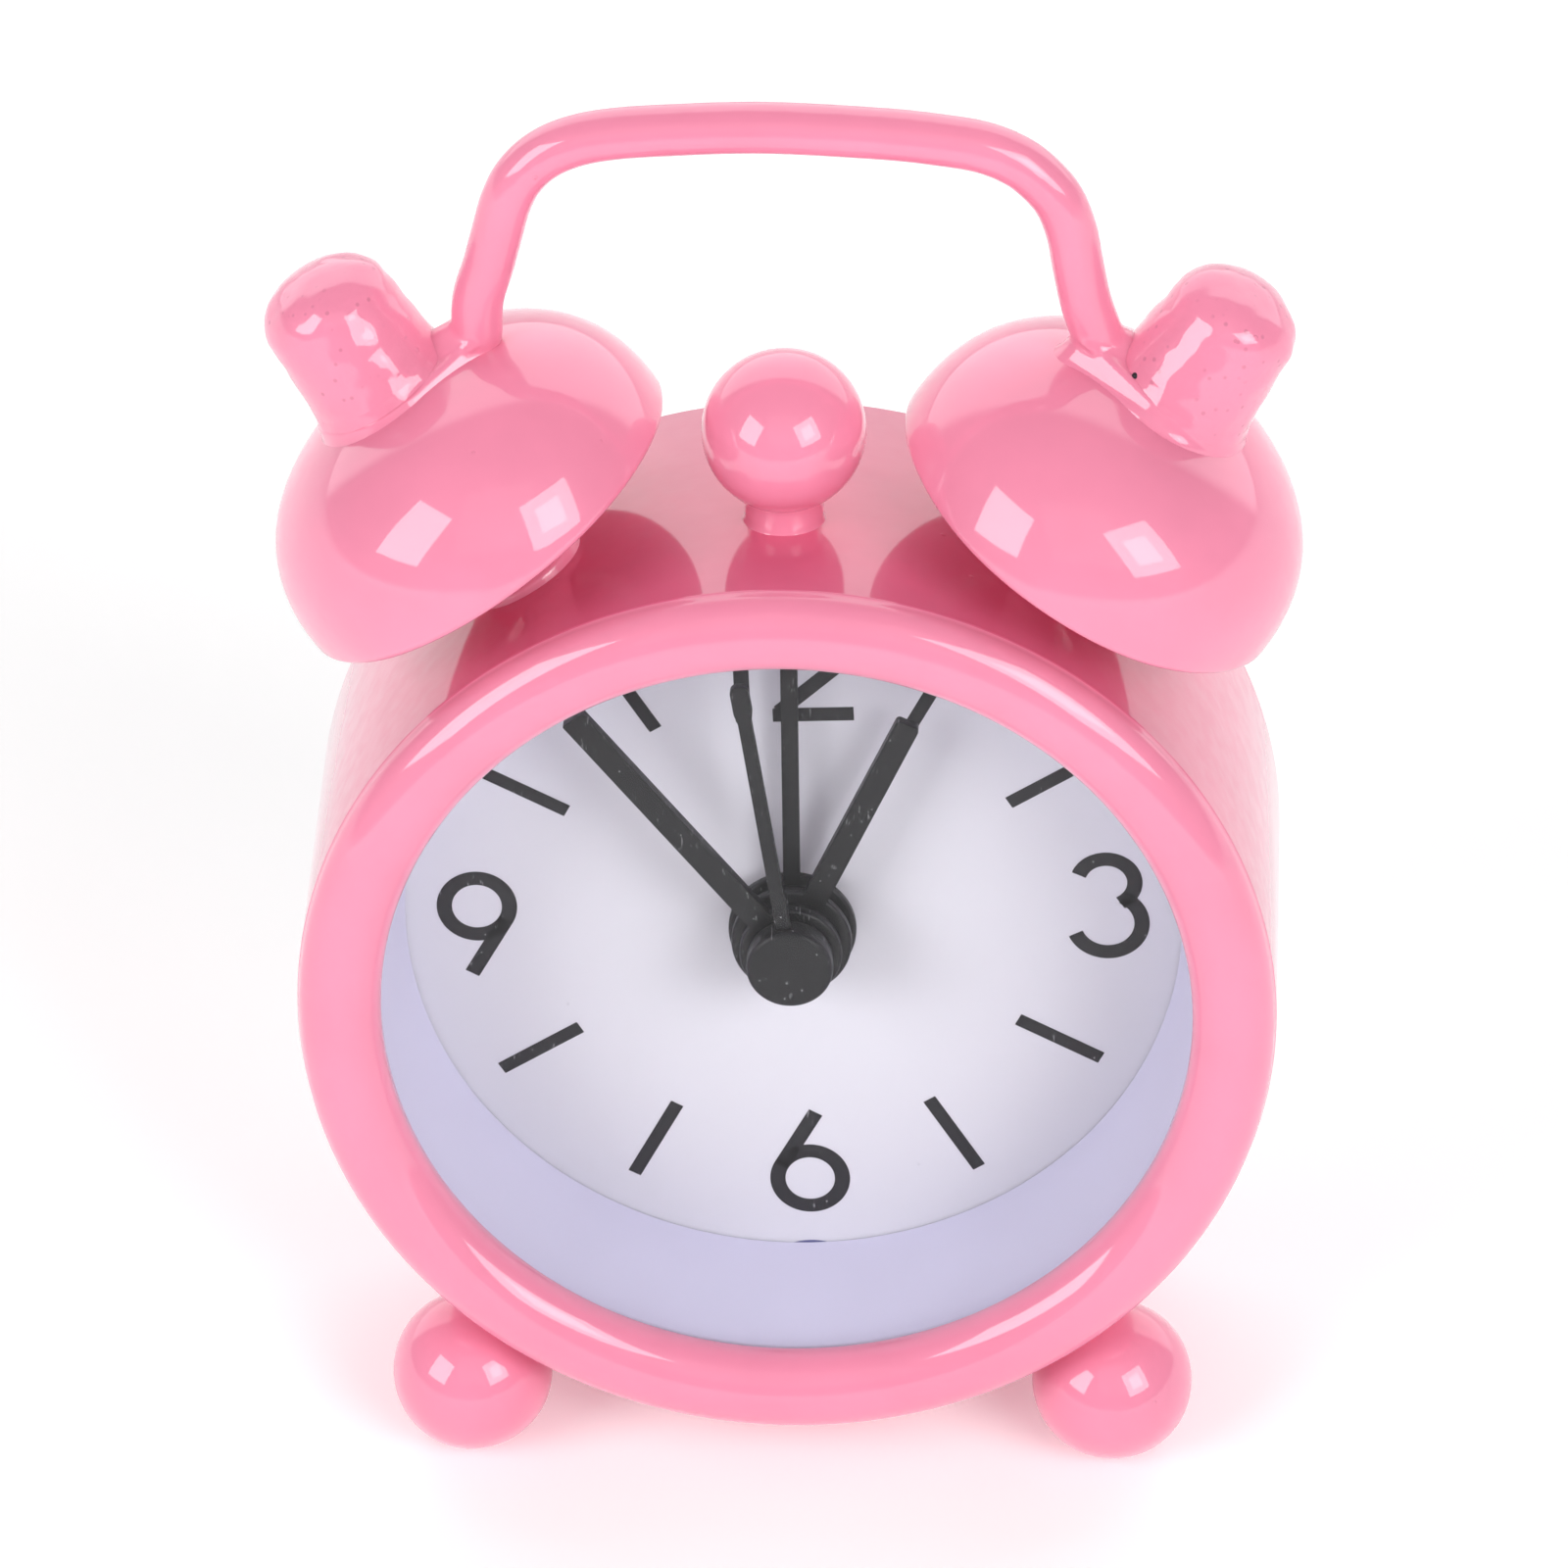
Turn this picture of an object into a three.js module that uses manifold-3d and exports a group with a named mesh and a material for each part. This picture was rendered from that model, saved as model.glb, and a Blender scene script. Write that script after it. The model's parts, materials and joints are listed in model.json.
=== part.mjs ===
// A small twin-bell alarm clock with a quartz movement, in millimetres, +Z up, front facing -Y.
// The drum's own frame has its origin at the dial's centre, with Y along the drum from front to back.
// At the end the drum is leaned back until both ball feet and the rear rim stand on the plane z = 0.
import * as THREE from "three";
import { mergeVertices } from "three/addons/utils/BufferGeometryUtils.js";
import Module from "manifold-3d";

const wasm = await Module();
wasm.setup();

// ---------- driving dimensions ----------
const GAP = 0.1; // between fixed neighbours
const RUNNING = 0.06; // radial play of a shaft in its hole

const CASE_RADIUS = 18.95;
const CASE_WALL = 0.8;
const CASE_FRONT_Y = -7.2;
const CASE_REAR_Y = 7.65;
const CASE_EDGE = 0.5; // radius of the rolled rear edge
const CASE_SIDES = 40;

const BEZEL_INNER = 15.7;
const BEZEL_OUTER = 18.75;
const BEZEL_CREST = 1.25; // how far the ring's rounded front stands proud
const LENS_THICKNESS = 0.6;

const DIAL_RADIUS = 15.4;
const DIAL_THICKNESS = 0.4;
const DIAL_TURN = -2.15; // degrees: the dial and movement sit slightly turned in the case
const REHAUT_REAR = 15.2; // inner radius of the dial frame at the dial
const REHAUT_FRONT = 15.62; // and at the lens
const FRAME_RADIUS = 16.6;

const BALL_RADIUS = 3.16;
const TOP_BALL_AT = 22.5; // from the drum's axis
const TOP_BALL_Y = -1.5;
const FOOT_AT = 22.31;
const FOOT_Y = -4.7;
const FOOT_ANGLE = 34.5; // degrees from straight down
const FOOT_FLAT = 0.8; // radius of the worn flat a foot stands on

const BELL_ANGLE = 32.35; // degrees from straight up
const BELL_Y = -0.6;
const BELL_RADIUS = 8.4;
const BELL_HEIGHT = 6.6;
const BELL_RIM_AT = 21.8; // from the drum's axis
const BELL_WALL = 0.7;
const POST_RADIUS = 1.35;
const STUD_RADIUS = 0.75;
const TAB_THICKNESS = 0.55;
const TAB_RADIUS = 3.3;
const KNOB_BASE_RADIUS = 2.85; // it tapers from here
const KNOB_TOP_RADIUS = 2.58; // to here, where its end starts to round
const KNOB_END_HEIGHT = 1.5;
const KNOB_TIP_AT = 34.03;

const ROD_RADIUS = 0.97;
const HANDLE_TOP = 35.45; // centre line of the rod above the drum's axis

// The movement's layers, counted back from the dial's front face at y = 0.
const LAYER = {
  housing: [0.5, 1.0],
  alarm: [1.25, 1.7],
  hour: [1.95, 2.4],
  minute: [2.65, 3.1],
  middlePlate: [3.3, 3.65],
  centre: [3.85, 4.3],
  second: [4.5, 4.95],
  third: [5.15, 5.6],
  rearPlate: [5.8, 6.25],
  backCover: [6.6, 7.35],
};
const MOVEMENT_RADIUS = 13.5;
const MOVEMENT_WALL = 0.4;
const MOVEMENT_FLAT_Z = -5.05; // the battery bay lies below this flat side

// Wheel trains: tooth counts and modules.
const TEETH = {
  rotor: 6, intermediate: 30, intermediatePinion: 6, second: 36,
  secondPinion: 6, third: 45, thirdPinion: 6, centre: 48,
  cannon: 10, minute: 30, minutePinion: 8, hour: 32,
  timeKnob: 10, alarm: 32, alarmKnob: 8,
};
const MODULE = { rotor: 0.17, second: 0.23, centre: 0.18, motion: 0.19, alarm: 0.26 };
MODULE.third = (MODULE.centre * (TEETH.centre + TEETH.thirdPinion)) / (TEETH.third + TEETH.secondPinion);
const ADDENDUM = 0.75; // tooth height outside the pitch circle, in modules
const DEDENDUM = 1.0;
const TOOTH_ROOT = 0.56; // share of the pitch that a tooth's root takes

// Nested arbors at the centre, from the inside out.
const SECOND_ARBOR = 0.3;
const CENTRE_TUBE = 0.58;
const CANNON_PIPE = 0.88;
const HOUR_PIPE = 1.26;
const ALARM_PIPE = 1.64;
const PIPE_WALL = 0.22;

const HAND = {
  alarm: { y: [-1.15, -0.75], hub: 2.35, width: 0.64, reach: 12.3, angle: 1.7 },
  hour: { y: [-2.1, -1.65], hub: 2.5, width: 0.95, reach: 11.0, angle: 26.6 },
  minute: { y: [-2.95, -2.5], hub: 2.0, width: 0.97, reach: 13.15, angle: -36.5 },
  second: { y: [-3.75, -3.4], hub: 1.69, width: 0.56, reach: 12.7, angle: -6.6 },
};
const CAP_FRONT_Y = -4.13;

const CELL_RADIUS = 5.8;
const CELL_THICKNESS = 3.1;
const CELL_Z = -11.55;
const CELL_FRONT_Y = 3.0;
const TRAY_WALL = 0.35;
const BATTERY_COVER_RADIUS = 5.85;

const SET_KNOB_RADIUS = 2.6;
const SET_KNOB_Y = [7.75, 9.85];
const SET_STEM = 0.5;
const SET_KNOB_ANGLE = 25; // degrees above the horizontal, on each side
const SWITCH_Z = 10.3;
const SWITCH_TRAVEL = 2.6;
const PILLAR_AT = 16.5;
const PILLAR_RADIUS = 0.95;
const PILLAR_ANGLES = [62, 118, 242, 298]; // degrees clockwise from the top

// ---------- materials ----------
function finish(color, roughness, metalness) {
  return new THREE.MeshStandardMaterial({ color, roughness, metalness });
}
const pink = finish("#fb98b6", 0.15, 0);
const white = finish("#e9e7f1", 0.5, 0);
const black = finish("#3c3b40", 0.35, 0);
const greyPlastic = finish("#d8d6de", 0.45, 0);
const clear = finish("#ffffff", 0.05, 0);
clear.transparent = true;
clear.opacity = 0.15;
const steel = finish("#c4c6ca", 0.3, 1);
const brass = finish("#c9a45c", 0.35, 1);
const copper = finish("#b8653a", 0.4, 1);
const board = finish("#2e6b45", 0.6, 0);
const wheelPlastic = finish("#efe9d8", 0.45, 0);

// ---------- shape helpers ----------
function radians(degrees) {
  return (degrees * Math.PI) / 180;
}

// Turns a closed geometry into a solid for cutting and joining.
function solid(geometry) {
  const bare = geometry.index ? geometry.toNonIndexed() : geometry.clone();
  bare.deleteAttribute("normal");
  bare.deleteAttribute("uv");
  const merged = mergeVertices(bare, 1e-4);
  return new wasm.Manifold(new wasm.Mesh({
    numProp: 3,
    vertProperties: merged.attributes.position.array,
    triVerts: new Uint32Array(merged.index.array),
  }));
}

function geometryOf(made) {
  const { numProp, vertProperties, triVerts } = made.getMesh();
  const positions = new Float32Array(triVerts.length * 3);
  triVerts.forEach((vertex, i) => {
    positions.set(vertProperties.subarray(vertex * numProp, vertex * numProp + 3), i * 3);
  });
  const geometry = new THREE.BufferGeometry();
  geometry.setAttribute("position", new THREE.BufferAttribute(positions, 3));
  geometry.computeVertexNormals();
  return geometry;
}

function join(...geometries) {
  return geometryOf(geometries.map(solid).reduce((sum, next) => sum.add(next)));
}

function cut(geometry, ...tools) {
  return geometryOf(tools.reduce((rest, tool) => rest.subtract(solid(tool)), solid(geometry)));
}

// A solid of revolution about Y from [radius, y] points, wound so that its faces point out.
function turned(profile, sides = 24) {
  const loop = profile.map(([radius, y]) => new THREE.Vector2(radius, y));
  const first = loop[0];
  const last = loop[loop.length - 1];
  const isOpen = first.x > 0 || last.x > 0;
  if (isOpen) loop.push(first.clone());
  const area = loop.reduce((sum, p, i) => {
    const next = loop[(i + 1) % loop.length];
    return sum + p.x * next.y - next.x * p.y;
  }, 0);
  if (area < 0) loop.reverse();
  return new THREE.LatheGeometry(loop, sides);
}

// Points on an ellipse's arc in the [radius, y] plane, from one angle to another in degrees.
function arc(centreRadius, centreY, halfWidth, halfHeight, from, to, steps) {
  return Array.from({ length: steps + 1 }, (_, i) => {
    const angle = radians(from + ((to - from) * i) / steps);
    return [centreRadius + halfWidth * Math.cos(angle), centreY + halfHeight * Math.sin(angle)];
  });
}

function ring(inner, outer, y0, y1, sides = 24) {
  return turned([[inner, y0], [outer, y0], [outer, y1], [inner, y1]], sides);
}

function disc(radius, y0, y1, sides = 24) {
  return turned([[0, y0], [radius, y0], [radius, y1], [0, y1]], sides);
}

// A flat plate whose outline is drawn in X and Z, between two values of y.
function plate(shape, [y0, y1], curveSegments = 10) {
  const geometry = new THREE.ExtrudeGeometry(shape, { depth: y1 - y0, bevelEnabled: false, curveSegments });
  return geometry.rotateX(Math.PI / 2).translate(0, y1, 0);
}

function holeAt(x, z, radius, sides = 10) {
  const corners = Array.from({ length: sides }, (_, i) => {
    const angle = (-i * Math.PI * 2) / sides;
    return new THREE.Vector2(x + radius * Math.cos(angle), z + radius * Math.sin(angle));
  });
  return new THREE.Path(corners);
}

function box(x, y, z, sizeX, sizeY, sizeZ) {
  return new THREE.BoxGeometry(sizeX, sizeY, sizeZ).translate(x, y, z);
}

// A copy of a geometry moved to x, z, for cutting and joining.
function at(geometry, { x, z }) {
  return geometry.clone().translate(x, 0, z);
}

function polar(distance, degrees) {
  return { x: distance * Math.cos(radians(degrees)), z: distance * Math.sin(radians(degrees)) };
}

function named(name, geometry, material, place = { x: 0, z: 0 }) {
  const mesh = new THREE.Mesh(geometry, material);
  mesh.name = name;
  mesh.position.set(place.x, 0, place.z);
  return mesh;
}

// ---------- toothed wheels ----------
// A wheel's outline, with one tooth's middle at the given phase in radians from +X towards +Z.
function toothedShape(teeth, module, phase, bore) {
  const pitchRadius = (module * teeth) / 2;
  const tip = pitchRadius + ADDENDUM * module;
  const root = pitchRadius - DEDENDUM * module;
  const step = (Math.PI * 2) / teeth;
  const halfRoot = (step * TOOTH_ROOT) / 2;
  const points = [];
  for (let i = 0; i < teeth; i += 1) {
    const middle = phase + i * step;
    for (const [radius, angle] of [[root, middle - halfRoot], [tip, middle], [root, middle + halfRoot]]) {
      points.push(new THREE.Vector2(radius * Math.cos(angle), radius * Math.sin(angle)));
    }
  }
  const shape = new THREE.Shape(points);
  if (bore) shape.holes.push(holeAt(0, 0, bore));
  return shape;
}

// The phase that puts a wheel in mesh: a gap faces the driver's tooth along the line of centres.
function meshed(driverPhase, driverTeeth, teeth, lineDegrees) {
  const line = radians(lineDegrees);
  return line + Math.PI + Math.PI / teeth - ((driverPhase - line) * driverTeeth) / teeth;
}

function lineDegrees(from, to) {
  return (Math.atan2(to.z - from.z, to.x - from.x) * 180) / Math.PI;
}

function spacing(module, teethA, teethB) {
  return (module * (teethA + teethB)) / 2;
}

// ---------- where the arbors stand ----------
const CENTRE = { x: 0, z: 0 };
const THIRD = polar(spacing(MODULE.centre, TEETH.centre, TEETH.thirdPinion), 90);
const INTERMEDIATE = polar(spacing(MODULE.second, TEETH.second, TEETH.intermediatePinion), -20);
const rotorOffset = polar(spacing(MODULE.rotor, TEETH.rotor, TEETH.intermediate), -10);
const ROTOR = { x: INTERMEDIATE.x + rotorOffset.x, z: INTERMEDIATE.z + rotorOffset.z };
const knobDistance = spacing(MODULE.alarm, TEETH.alarm, TEETH.alarmKnob);
const ALARM_KNOB = polar(knobDistance, SET_KNOB_ANGLE);
const TIME_KNOB = polar(knobDistance, 180 - SET_KNOB_ANGLE);
// The minute wheel meshes with the cannon pinion and with the time knob's pinion of the same size.
const motionDistance = spacing(MODULE.motion, TEETH.cannon, TEETH.minute);
const minuteAngle = (Math.acos(knobDistance / 2 / motionDistance) * 180) / Math.PI;
const MINUTE = polar(motionDistance, 180 - SET_KNOB_ANGLE + minuteAngle);

const drum = new THREE.Group(); // the whole clock in the drum's frame
const dialSide = new THREE.Group(); // the dial, movement and back, slightly turned about the drum's axis
dialSide.rotation.y = radians(DIAL_TURN);
drum.add(dialSide);

// ---------- the pieces that stand on the drum's wall ----------
// Stands a piece turned about Y on a radius of the drum, clockwise from the top by the given angle.
function radial(geometry, clockwise, y) {
  return geometry.clone().rotateX(Math.PI / 2).rotateY(radians(clockwise)).translate(0, y, 0);
}

// The same placing for a finished piece, on its mesh.
function onDrum(name, geometry, material, [clockwise, y]) {
  const mesh = named(name, geometry, material);
  mesh.rotation.set(Math.PI / 2, radians(clockwise), 0, "YXZ");
  mesh.position.y = y;
  return mesh;
}

function wallHole(clockwise, y) {
  const hole = disc(STUD_RADIUS + GAP, CASE_RADIUS - 2 * CASE_WALL, CASE_RADIUS + CASE_WALL, 12);
  return radial(hole, clockwise, y);
}

const stations = {
  bell_left: [-BELL_ANGLE, BELL_Y],
  bell_right: [BELL_ANGLE, BELL_Y],
  top_ball: [0, TOP_BALL_Y],
  foot_left: [180 + FOOT_ANGLE, FOOT_Y],
  foot_right: [180 - FOOT_ANGLE, FOOT_Y],
};

// The rear edge is rolled; the vertex 15 degrees round it is the one that touches the table.
const TOUCH_ANGLE = 15;
const rollCentre = { radius: CASE_RADIUS - CASE_EDGE, y: CASE_REAR_Y - CASE_EDGE };
const caseProfile = [
  [CASE_RADIUS - CASE_WALL, CASE_FRONT_Y],
  [CASE_RADIUS - CASE_EDGE / 2, CASE_FRONT_Y],
  [CASE_RADIUS, CASE_FRONT_Y + CASE_EDGE / 2],
  ...arc(rollCentre.radius, rollCentre.y, CASE_EDGE, CASE_EDGE, 0, TOUCH_ANGLE, 1),
  ...arc(rollCentre.radius, rollCentre.y, CASE_EDGE, CASE_EDGE, TOUCH_ANGLE, 90, 2).slice(1),
  [CASE_RADIUS - CASE_WALL, CASE_REAR_Y],
];
const wallHoles = Object.values(stations).map(([clockwise, y]) => wallHole(clockwise, y));
drum.add(named("case_shell", cut(turned(caseProfile, CASE_SIDES), ...wallHoles), pink));

// The lean-back angle at which the rolled rear edge and both foot flats stand on one plane.
const footHeight = Math.sqrt(BALL_RADIUS ** 2 - FOOT_FLAT ** 2); // ball's centre above its flat
const touchRadius = rollCentre.radius + CASE_EDGE * Math.cos(radians(TOUCH_ANGLE));
const touchY = rollCentre.y + CASE_EDGE * Math.sin(radians(TOUCH_ANGLE));
const footZ = -FOOT_AT * Math.cos(radians(FOOT_ANGLE));
const reachY = touchY - FOOT_Y;
const reachZ = touchRadius + footZ;
const LEAN = Math.asin(footHeight / Math.hypot(reachY, reachZ)) - Math.atan2(reachZ, reachY);

// A ball on a short neck, with a blind hole for its screw; distances are from the drum's axis.
const BALL_FOOT_AT = CASE_RADIUS + GAP;
const BALL_SCREW_DEPTH = 2.6;
function ballProfile(centreAt, neckRadius, flareRadius) {
  const neckEnd = (Math.asin(neckRadius / BALL_RADIUS) * 180) / Math.PI - 90;
  const bore = STUD_RADIUS - GAP;
  return [
    [0, BALL_FOOT_AT + BALL_SCREW_DEPTH],
    [bore, BALL_FOOT_AT + BALL_SCREW_DEPTH],
    [bore, BALL_FOOT_AT],
    [flareRadius, BALL_FOOT_AT],
    ...arc(0, centreAt, BALL_RADIUS, BALL_RADIUS, neckEnd, 90, 8).slice(0, -1),
    [0, centreAt + BALL_RADIUS],
  ];
}
const BALL_SIDES = 16;
const topBall = turned(ballProfile(TOP_BALL_AT, 1.45, 1.75), BALL_SIDES);
drum.add(onDrum("top_ball", topBall, pink, stations.top_ball));

const floorBlock = box(0, 0, 0, 80, 80, 10).translate(0, 0, -5).rotateX(LEAN);
for (const side of ["foot_left", "foot_right"]) {
  const foot = radial(turned(ballProfile(FOOT_AT, 1.3, 1.4), BALL_SIDES), ...stations[side]);
  const ballZ = FOOT_Y * -Math.sin(LEAN) + footZ * Math.cos(LEAN);
  const ballY = FOOT_Y * Math.cos(LEAN) + footZ * Math.sin(LEAN);
  const flat = new THREE.Vector3(0, ballY, ballZ - footHeight);
  const under = flat.applyAxisAngle(new THREE.Vector3(1, 0, 0), LEAN);
  drum.add(named(side, cut(foot, floorBlock.clone().translate(0, under.y, under.z)), pink));
}

// Round-headed screws inside the drum hold the balls.
const SCREW_SHANK = 0.5;
const inner = CASE_RADIUS - CASE_WALL;
const ballScrew = turned([
  [0, inner - 1.1], [1.3, inner - 1.1], [1.3, inner - 0.3], [SCREW_SHANK, inner - 0.3],
  [SCREW_SHANK, BALL_FOOT_AT + BALL_SCREW_DEPTH - 3 * GAP], [0, BALL_FOOT_AT + BALL_SCREW_DEPTH - 3 * GAP],
], 12);
for (const side of ["top_ball", "foot_left", "foot_right"]) {
  drum.add(onDrum(`${side}_screw`, ballScrew, steel, stations[side]));
}

// ---------- bells, posts, handle and knobs ----------
const BELL_TOP_AT = BELL_RIM_AT + BELL_HEIGHT;
const TAB_AT = BELL_TOP_AT + GAP;
const KNOB_BASE_AT = TAB_AT + TAB_THICKNESS + GAP;
const BELL_POWER = 2.3; // exponent of the dome's rounded outline
const BELL_STEPS = 6;
const BELL_SIDES = 26;

// The dome's outline from its rim to its crown, as a superellipse.
function domeOutline(radius, height, crownRadius) {
  return Array.from({ length: BELL_STEPS + 1 }, (_, i) => {
    const angle = (Math.PI / 2) * (i / BELL_STEPS);
    const out = Math.max(radius * Math.cos(angle) ** (2 / BELL_POWER), crownRadius);
    return [out, BELL_RIM_AT + height * Math.sin(angle) ** (2 / BELL_POWER)];
  });
}
const bellBore = STUD_RADIUS + GAP;
const bellProfile = [
  ...domeOutline(BELL_RADIUS, BELL_HEIGHT, bellBore),
  ...domeOutline(BELL_RADIUS - BELL_WALL, BELL_HEIGHT - BELL_WALL, bellBore).reverse(),
];

const studTop = KNOB_BASE_AT + 2.2;
const postTop = BELL_TOP_AT - BELL_WALL - GAP;
const postProfile = [
  [0, inner - 1.4], [STUD_RADIUS, inner - 1.4], [STUD_RADIUS, BALL_FOOT_AT], [1.9, BALL_FOOT_AT],
  [1.55, BALL_FOOT_AT + 0.25], [POST_RADIUS, BALL_FOOT_AT + 0.7], [POST_RADIUS, postTop],
  [STUD_RADIUS, postTop], [STUD_RADIUS, studTop], [0, studTop],
];
const knobEndAt = KNOB_TIP_AT - KNOB_END_HEIGHT;
const knobBore = STUD_RADIUS + GAP;
const knobProfile = [
  [0, studTop + GAP], [knobBore, studTop + GAP], [knobBore, KNOB_BASE_AT], [KNOB_BASE_RADIUS, KNOB_BASE_AT],
  ...arc(0, knobEndAt, KNOB_TOP_RADIUS, KNOB_END_HEIGHT, 0, 90, 5).slice(0, -1), [0, KNOB_TIP_AT],
];

const nutShape = new THREE.Shape(
  Array.from({ length: 6 }, (_, i) => {
    const corner = polar(1.7, i * 60);
    return new THREE.Vector2(corner.x, corner.z);
  }),
);
nutShape.holes.push(holeAt(0, 0, STUD_RADIUS + RUNNING));
const nut = plate(nutShape, [inner - 1.15, inner - 0.25], 6);

for (const side of ["left", "right"]) {
  const station = stations[`bell_${side}`];
  drum.add(
    onDrum(`bell_post_${side}`, turned(postProfile, 12), pink, station),
    onDrum(`bell_post_nut_${side}`, nut, steel, station),
    onDrum(`bell_${side}`, turned(bellProfile, BELL_SIDES), pink, station),
    onDrum(`bell_knob_${side}`, turned(knobProfile, BALL_SIDES), pink, station),
  );
}

// Half of the handle's centre line in X and Z, from its end beside a knob up to the middle.
const bellAxis = { x: Math.sin(radians(BELL_ANGLE)), z: Math.cos(radians(BELL_ANGLE)) };
const END_AT = TAB_AT + 0.7; // height of the rod's end along the bell's axis
const END_OUT = 3.0; // and its distance from that axis
const rodEnd = {
  x: bellAxis.x * END_AT - bellAxis.z * END_OUT,
  z: bellAxis.z * END_AT + bellAxis.x * END_OUT,
};
const halfRod = [
  [rodEnd.x, rodEnd.z], [12.15, 26.85], [11.6, 27.8], [11.15, 29.6], [10.7, 31.5],
  [9.75, 33.35], [7.9, 34.6], [4.6, 35.25],
];
const rodPoints = [
  ...halfRod.map(([x, z]) => new THREE.Vector3(-x, BELL_Y, z)),
  new THREE.Vector3(0, BELL_Y, HANDLE_TOP),
  ...halfRod.reverse().map(([x, z]) => new THREE.Vector3(x, BELL_Y, z)),
];
const rodCurve = new THREE.CatmullRomCurve3(rodPoints);
const rodSection = new THREE.Shape();
rodSection.absarc(0, 0, ROD_RADIUS, 0, Math.PI * 2, false);
const rod = new THREE.ExtrudeGeometry(rodSection, { extrudePath: rodCurve, steps: 28, curveSegments: 4 });
const tab = disc(TAB_RADIUS, TAB_AT, TAB_AT + TAB_THICKNESS, 18);
const tabHole = disc(STUD_RADIUS + GAP, TAB_AT - 1, TAB_AT + 2, 12);
const tabSides = [stations.bell_left, stations.bell_right];
const handle = cut(
  join(rod, ...tabSides.map((station) => radial(tab, ...station))),
  ...tabSides.map((station) => radial(tabHole, ...station)),
);
drum.add(named("handle", handle, pink));

// ---------- bezel, lens, dial frame and dial ----------
const bezelSeatY = CASE_FRONT_Y - GAP;
const sleeveOuter = inner - GAP;
const sleeveInner = sleeveOuter - 0.7;
const sleeveY = CASE_FRONT_Y + 1;
const flangeY = bezelSeatY + 0.45; // rear face of the lip that holds the lens
const bezelMiddle = (BEZEL_INNER + BEZEL_OUTER) / 2;
const bezelHalfWidth = (BEZEL_OUTER - BEZEL_INNER) / 2;
const bezelProfile = [
  ...arc(bezelMiddle, bezelSeatY, bezelHalfWidth, -BEZEL_CREST, 180, 0, 8),
  [sleeveOuter, bezelSeatY], [sleeveOuter, sleeveY], [sleeveInner, sleeveY],
  [sleeveInner, flangeY], [BEZEL_INNER + 0.05, flangeY],
];
drum.add(named("bezel_ring", turned(bezelProfile, CASE_SIDES), pink));
const lensY = flangeY + GAP;
drum.add(named("lens", disc(sleeveInner - GAP, lensY, lensY + LENS_THICKNESS, CASE_SIDES), clear));

const frameY = lensY + LENS_THICKNESS + GAP;
const pillarPlaces = PILLAR_ANGLES.map((clockwise) => polar(PILLAR_AT, 90 - clockwise));
const BACK_SCREW_TIP_Y = 2.8;
const pillar = disc(PILLAR_RADIUS, -1, LAYER.backCover[0] - GAP, 12);
const pillarHole = disc(0.52, BACK_SCREW_TIP_Y - 6 * GAP, LAYER.backCover[0] + 1, 8);
const frameRing = turned(
  [[REHAUT_REAR, -GAP / 2], [REHAUT_FRONT, frameY], [FRAME_RADIUS, frameY], [FRAME_RADIUS, -GAP / 2]],
  CASE_SIDES,
);
const dialFrame = cut(
  join(frameRing, ...pillarPlaces.map((place) => at(pillar, place))),
  ...pillarPlaces.map((place) => at(pillarHole, place)),
);
dialSide.add(named("dial_frame", dialFrame, white));
dialSide.add(named("dial", ring(ALARM_PIPE + 2 * GAP, DIAL_RADIUS, 0, DIAL_THICKNESS, 30), white));

// ---------- hands ----------
// A hub and one straight blade with a rounded end, pointing clockwise from twelve by the angle.
function handShape({ hub, width, reach }, bore) {
  const half = Math.asin(width / 2 / hub);
  const shape = new THREE.Shape();
  shape.absarc(0, 0, hub, Math.PI / 2 + half, Math.PI * 2.5 - half, false);
  shape.lineTo(width / 2, reach - width / 3);
  shape.lineTo(width / 4, reach);
  shape.lineTo(-width / 4, reach);
  shape.lineTo(-width / 2, reach - width / 3);
  if (bore) shape.holes.push(holeAt(0, 0, bore));
  return shape;
}
function hand(name, bore) {
  const { y, angle } = HAND[name];
  return plate(handShape(HAND[name], bore), y).rotateY(radians(angle));
}
dialSide.add(
  named("alarm_hand", hand("alarm", ALARM_PIPE + RUNNING), black),
  named("hour_hand", hand("hour", HOUR_PIPE + RUNNING), black),
  named("minute_hand", hand("minute", CANNON_PIPE + RUNNING), black),
);
const capRearY = HAND.minute.y[0] - 2 * GAP;
const cap = disc(HAND.second.hub, CAP_FRONT_Y, capRearY, 20);
const capBore = disc(SECOND_ARBOR + RUNNING, CAP_FRONT_Y + 0.35, capRearY + 1, 12);
dialSide.add(named("second_hand", cut(join(cap, hand("second")), capBore), black));

// ---------- wheels ----------
const minuteLine = lineDegrees(CENTRE, MINUTE);
const PHASE = { centre: 0.02, second: 0, alarm: 0, cannon: 0 };
PHASE.third = meshed(PHASE.centre, TEETH.centre, TEETH.thirdPinion, 90);
PHASE.thirdWheel = meshed(PHASE.second, TEETH.secondPinion, TEETH.third, 90);
PHASE.intermediatePinion = meshed(PHASE.second, TEETH.second, TEETH.intermediatePinion, -20);
PHASE.rotor = meshed(0, TEETH.intermediate, TEETH.rotor, lineDegrees(INTERMEDIATE, ROTOR));
PHASE.minute = meshed(PHASE.cannon, TEETH.cannon, TEETH.minute, minuteLine);
PHASE.hour = meshed(0, TEETH.minutePinion, TEETH.hour, minuteLine + 180);
PHASE.timeKnob = meshed(PHASE.minute, TEETH.minute, TEETH.timeKnob, lineDegrees(MINUTE, TIME_KNOB));
PHASE.alarmKnob = meshed(PHASE.alarm, TEETH.alarm, TEETH.alarmKnob, SET_KNOB_ANGLE);

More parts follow.
